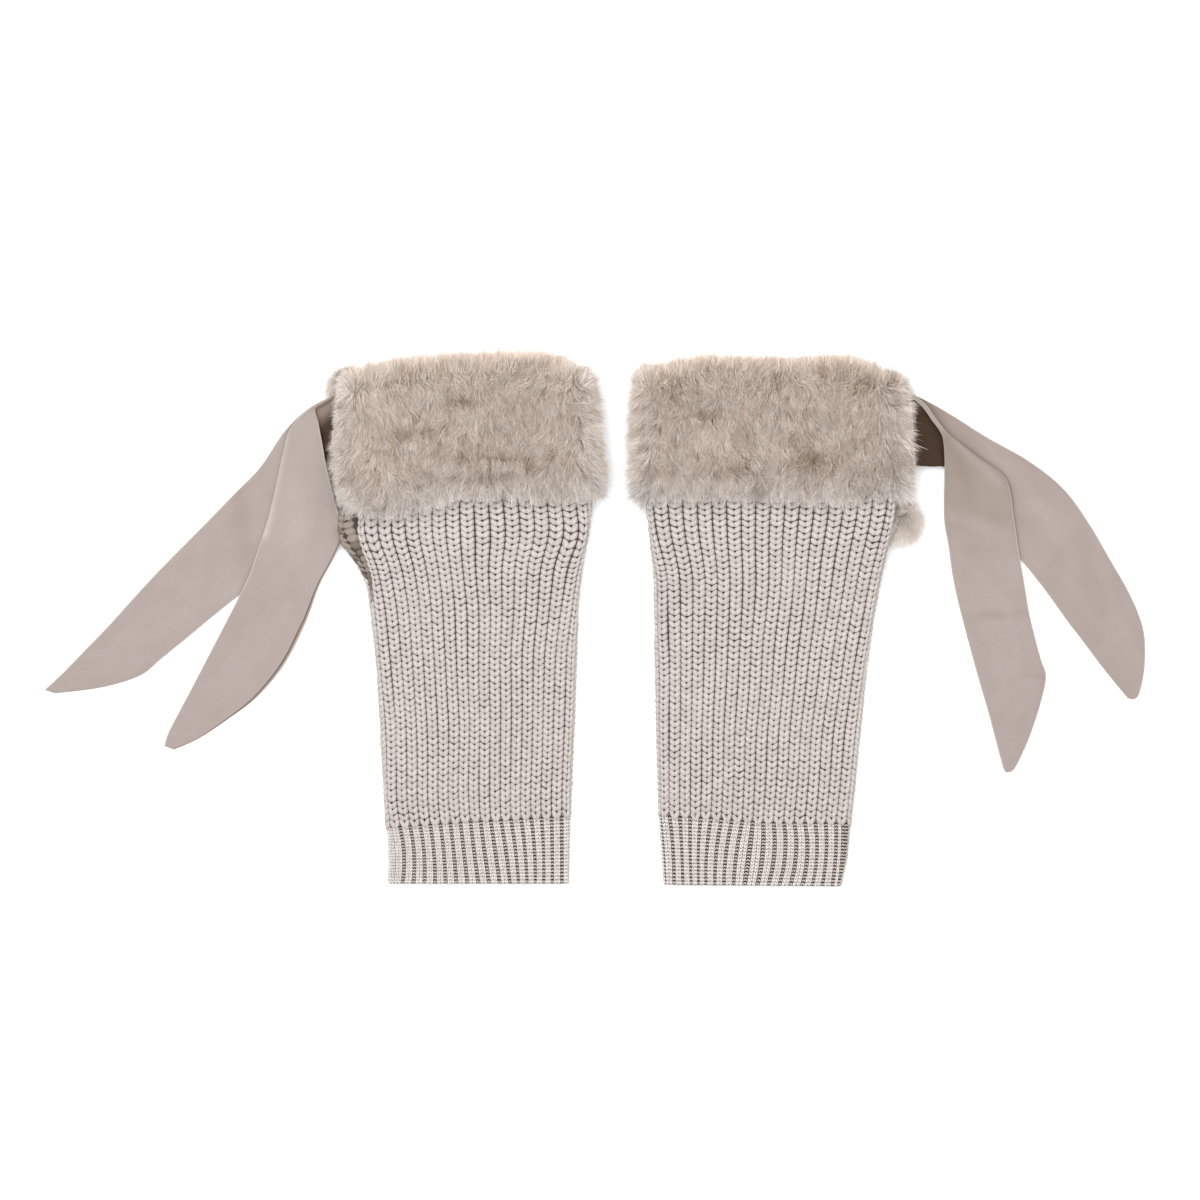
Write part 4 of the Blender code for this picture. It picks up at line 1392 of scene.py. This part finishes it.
def ribbon_section(name, strip, along):
    """Points under and over a ribbon from edge a to edge b, with their painted shade, and their paleness
    along its edges and in the painted highlight of its sharp ridges."""
    span = math.hypot(strip.bx - strip.ax, strip.by - strip.ay)
    narrow = min(1.0, span / 8.0)
    place, ply = section_places(name, span, narrow, along)
    share = place / span
    x = strip.ax + (strip.bx - strip.ax) * share
    y = strip.ay + (strip.by - strip.ay) * share
    z = strip.az + (strip.bz - strip.az) * share + strip.arch * 4.0 * share * (1.0 - share)
    edge = np.minimum(place, span - place)
    thick = strip.thick * (0.45 + 0.55 * smooth_step(edge, 0.0, PRESSED[-1] * narrow))
    near = [(crease.deep, off_line(x, y, crease)) for crease in CREASES[name]]
    swell = sum(-deep * share_of for deep, share_of in near)
    swell = swell + 0.16 * wander(x, y, 16.0, 1400) + 0.08 * wander(x, y, 6.0, 1401)
    swell = swell * smooth_step(edge, -1.0, 4.0) * narrow
    under = np.maximum(z + np.maximum(swell, 0.0), 0.0)
    over = np.maximum(z + strip.thick / 2.0 + thick / 2.0 + swell, under + 0.35)
    shade, rim_and_ridge_highlight = ribbon_shade(name, along, share, edge, near)
    if ply:
        # The upper ply ends short of edge b, with a painted shadow line under its edge.
        lower = smooth_step(ply, 0.3, 0.9) * (place > span - ply)
        over = over - lower * 0.6
        under = np.minimum(under, over - 0.3)
        line = smooth_step(ply, 0.3, 0.6) * (np.abs(place - (span - ply + 0.1 * narrow)) < 0.15 * narrow)
        shade = np.maximum(shade, 0.9 * line)
    return np.stack([x, y, np.maximum(under, 0.0)], -1), np.stack([x, y, over], -1), shade, rim_and_ridge_highlight


def ribbon_faces(span, travelled):
    """Corners, face sizes and map, in metres, of a ribbon's two layers of points and its rim."""
    length, count = span.shape
    corners, sizes, uv = [], [], []

    def face(*places):
        """A face from its corners' (layer, row, step)."""
        corners.extend((layer * length + row) * count + step for layer, row, step in places)
        for _, row, step in places:
            uv.append(((span[row][step] - span[row][-1] / 2.0) * METRE, travelled[row] * METRE))
        sizes.append(len(places))

    for row in range(length - 1):
        for step in range(count - 1):
            a, b, c, d = (row, step), (row, step + 1), (row + 1, step + 1), (row + 1, step)
            face((0, *a), (0, *b), (0, *c), (0, *d))
            face((1, *d), (1, *c), (1, *b), (1, *a))
        for step in (0, count - 1):
            face((0, row, step), (0, row + 1, step), (1, row + 1, step), (1, row, step))
    for row in (0, length - 1):
        for step in range(count - 1):
            face((0, row, step), (0, row, step + 1), (1, row, step + 1), (1, row, step))
    return corners, sizes, uv


def add_ribbon(name, satin):
    rows = RIBBONS[name]
    steps = RIBBON_SUBROWS * (len(rows) - 1)
    strips = [Strip(*curve_through(rows, step / steps)) for step in range(steps + 1)]
    middle = np.array([(np.array(strip[0:3]) + strip[3:6]) / 2 for strip in strips])
    travelled = np.concatenate([[0.0], np.cumsum(np.linalg.norm(np.diff(middle, axis=0), axis=-1))])
    sections = [ribbon_section(name, strip, along) for strip, along in zip(strips, travelled)]
    under, over, shade, rim_and_ridge_highlight = (np.array(kind) for kind in zip(*sections))
    span = np.linalg.norm(over - over[:, :1], axis=-1)
    points = np.concatenate([under.reshape(-1, 3), over.reshape(-1, 3)])
    mesh = make_mesh(f"{name}_satin", points, *ribbon_faces(span, travelled), "cloth")
    store(mesh, "shade", np.tile(shade.ravel(), 2))
    store(mesh, "rim_and_ridge_highlight", np.tile(rim_and_ridge_highlight.ravel(), 2))
    turn_outwards(mesh)
    mesh.set_sharp_from_angle(angle=math.radians(50.0))
    return add_piece(mesh, satin, [name]), float(travelled[-1]) * METRE


# --- Stage ---

CAMERA_LENS = 250.0
SENSOR = 36.0
VIEW_WIDTH = 784.8
VIEW_CENTRE = (3.3, 12.1)
FLOOR_SIZE = 6.0

Lamp = namedtuple("Lamp", "name x y z size power")
LAMPS = rows_of(
    Lamp, ("over", -0.2, 0.3, 2.2, 2, 72), ("left", -1.7, 0.6, 1.8, 1.4, 15),
    ("right", 1.7, -0.3, 1.8, 1.4, 15),
)


def add_floor():
    mesh = bpy.data.meshes.new("floor")
    half = FLOOR_SIZE / 2.0
    corners = [(-half, -half, 0), (half, -half, 0), (half, half, 0), (-half, half, 0)]
    mesh.from_pydata(corners, [], [(0, 1, 2, 3)])
    floor = linked("floor", mesh)
    floor.location = (0.0, 0.0, -0.0002)
    look = Look("floor", 0.9, specular=0.1)
    grain = look.noise(look.where(), 40.0)
    look.colour(look.mix(grain, (0.93, 0.93, 0.93), (0.96, 0.96, 0.96)))
    mesh.materials.append(look.material)


def add_lamps():
    for lamp in LAMPS:
        light = bpy.data.lights.new(lamp.name, "AREA")
        light.size = lamp.size
        light.energy = lamp.power
        made = linked(lamp.name, light)
        made.location = (lamp.x, lamp.y, lamp.z)
        made.rotation_mode = "QUATERNION"
        made.rotation_quaternion = (-Vector(made.location)).to_track_quat("-Z", "Y")
        made.visible_camera = False


def set_world():
    world = bpy.data.worlds.new("studio")
    world.use_nodes = True
    sky = world.node_tree.nodes["Background"]
    sky.inputs["Color"].default_value = (1.0, 1.0, 1.0, 1.0)
    sky.inputs["Strength"].default_value = 0.4
    bpy.context.scene.world = world
    bpy.context.scene.view_settings.view_transform = "Standard"


def add_camera():
    data = bpy.data.cameras.new("camera")
    data.lens = CAMERA_LENS
    data.sensor_width = SENSOR
    data.clip_end = 50.0
    camera = linked("camera", data)
    height = VIEW_WIDTH * CAMERA_LENS / SENSOR
    camera.location = Vector((*VIEW_CENTRE, height)) * METRE
    bpy.context.scene.camera = camera


# --- The pair ---


def declare_tube(side, spans, low, high, stitches):
    """Reads the tube's sides at heights from its lower edge to its upper one, and its stitches as a list,
    but keeps neither.
    """
    heights = np.linspace(low, high, 20)
    left, right, _, _ = spans(side, heights)
    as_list(stitches)


def build():
    add_camera()
    add_floor()
    add_lamps()
    set_world()
    yarn = yarn_look("yarn", (0.465, 0.42, 0.4), (0.19, 0.157, 0.138))
    rib_yarn = yarn_look("rib_yarn", (0.67, 0.62, 0.595), (0.34, 0.29, 0.265))
    # The purl bumps lie in the grooves between the ribs: their yarn is a darker copy of the rib yarn,
    # painted shade.
    purl_yarn = yarn_look("purl_yarn", (0.57, 0.5, 0.46), (0.23, 0.172, 0.145))
    # The cloth under the stitches is near black: painted shade between the stitches.
    gap = gap_look("knit_gaps", (0.03, 0.022, 0.018), (0.09, 0.07, 0.06), 700.0)
    # The last ring of the ankle's skin, round to the first, is its hem.
    hem = 1.0 - 1.0 / (2 * RIB_SKIN_ROWS + 2)
    edge = (0.45, 0.4, 0.375)
    # The rib's gaps are painted shade too; its hem has the knit edge's own pale colour.
    rib_gap = gap_look("rib_gaps", (0.02, 0.014, 0.01), (0.07, 0.053, 0.044), 900.0, hem, edge)
    fur = fur_look("fur")
    skin = skin_look("fur_skin")
    satin = satin_look("satin")
    for side in SIDES:
        leg, stitches = add_leg(side, yarn, gap)
        declare_tube(side, leg_span, SEAM_HEIGHT, LEG_TOP, stitches)
        rib, stitches = add_rib(side, rib_yarn, purl_yarn, rib_gap)
        declare_tube(side, rib_span, HEM_HEIGHT, SEAM_HEIGHT, stitches)
        cuff, hairs = add_cuff(side, fur, skin)
        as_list(hairs)
        add_pompom(side, fur, skin)
        for part in ("back", "front"):
            ribbon, length = add_ribbon(f"{side}_ribbon_{part}", satin)


build()
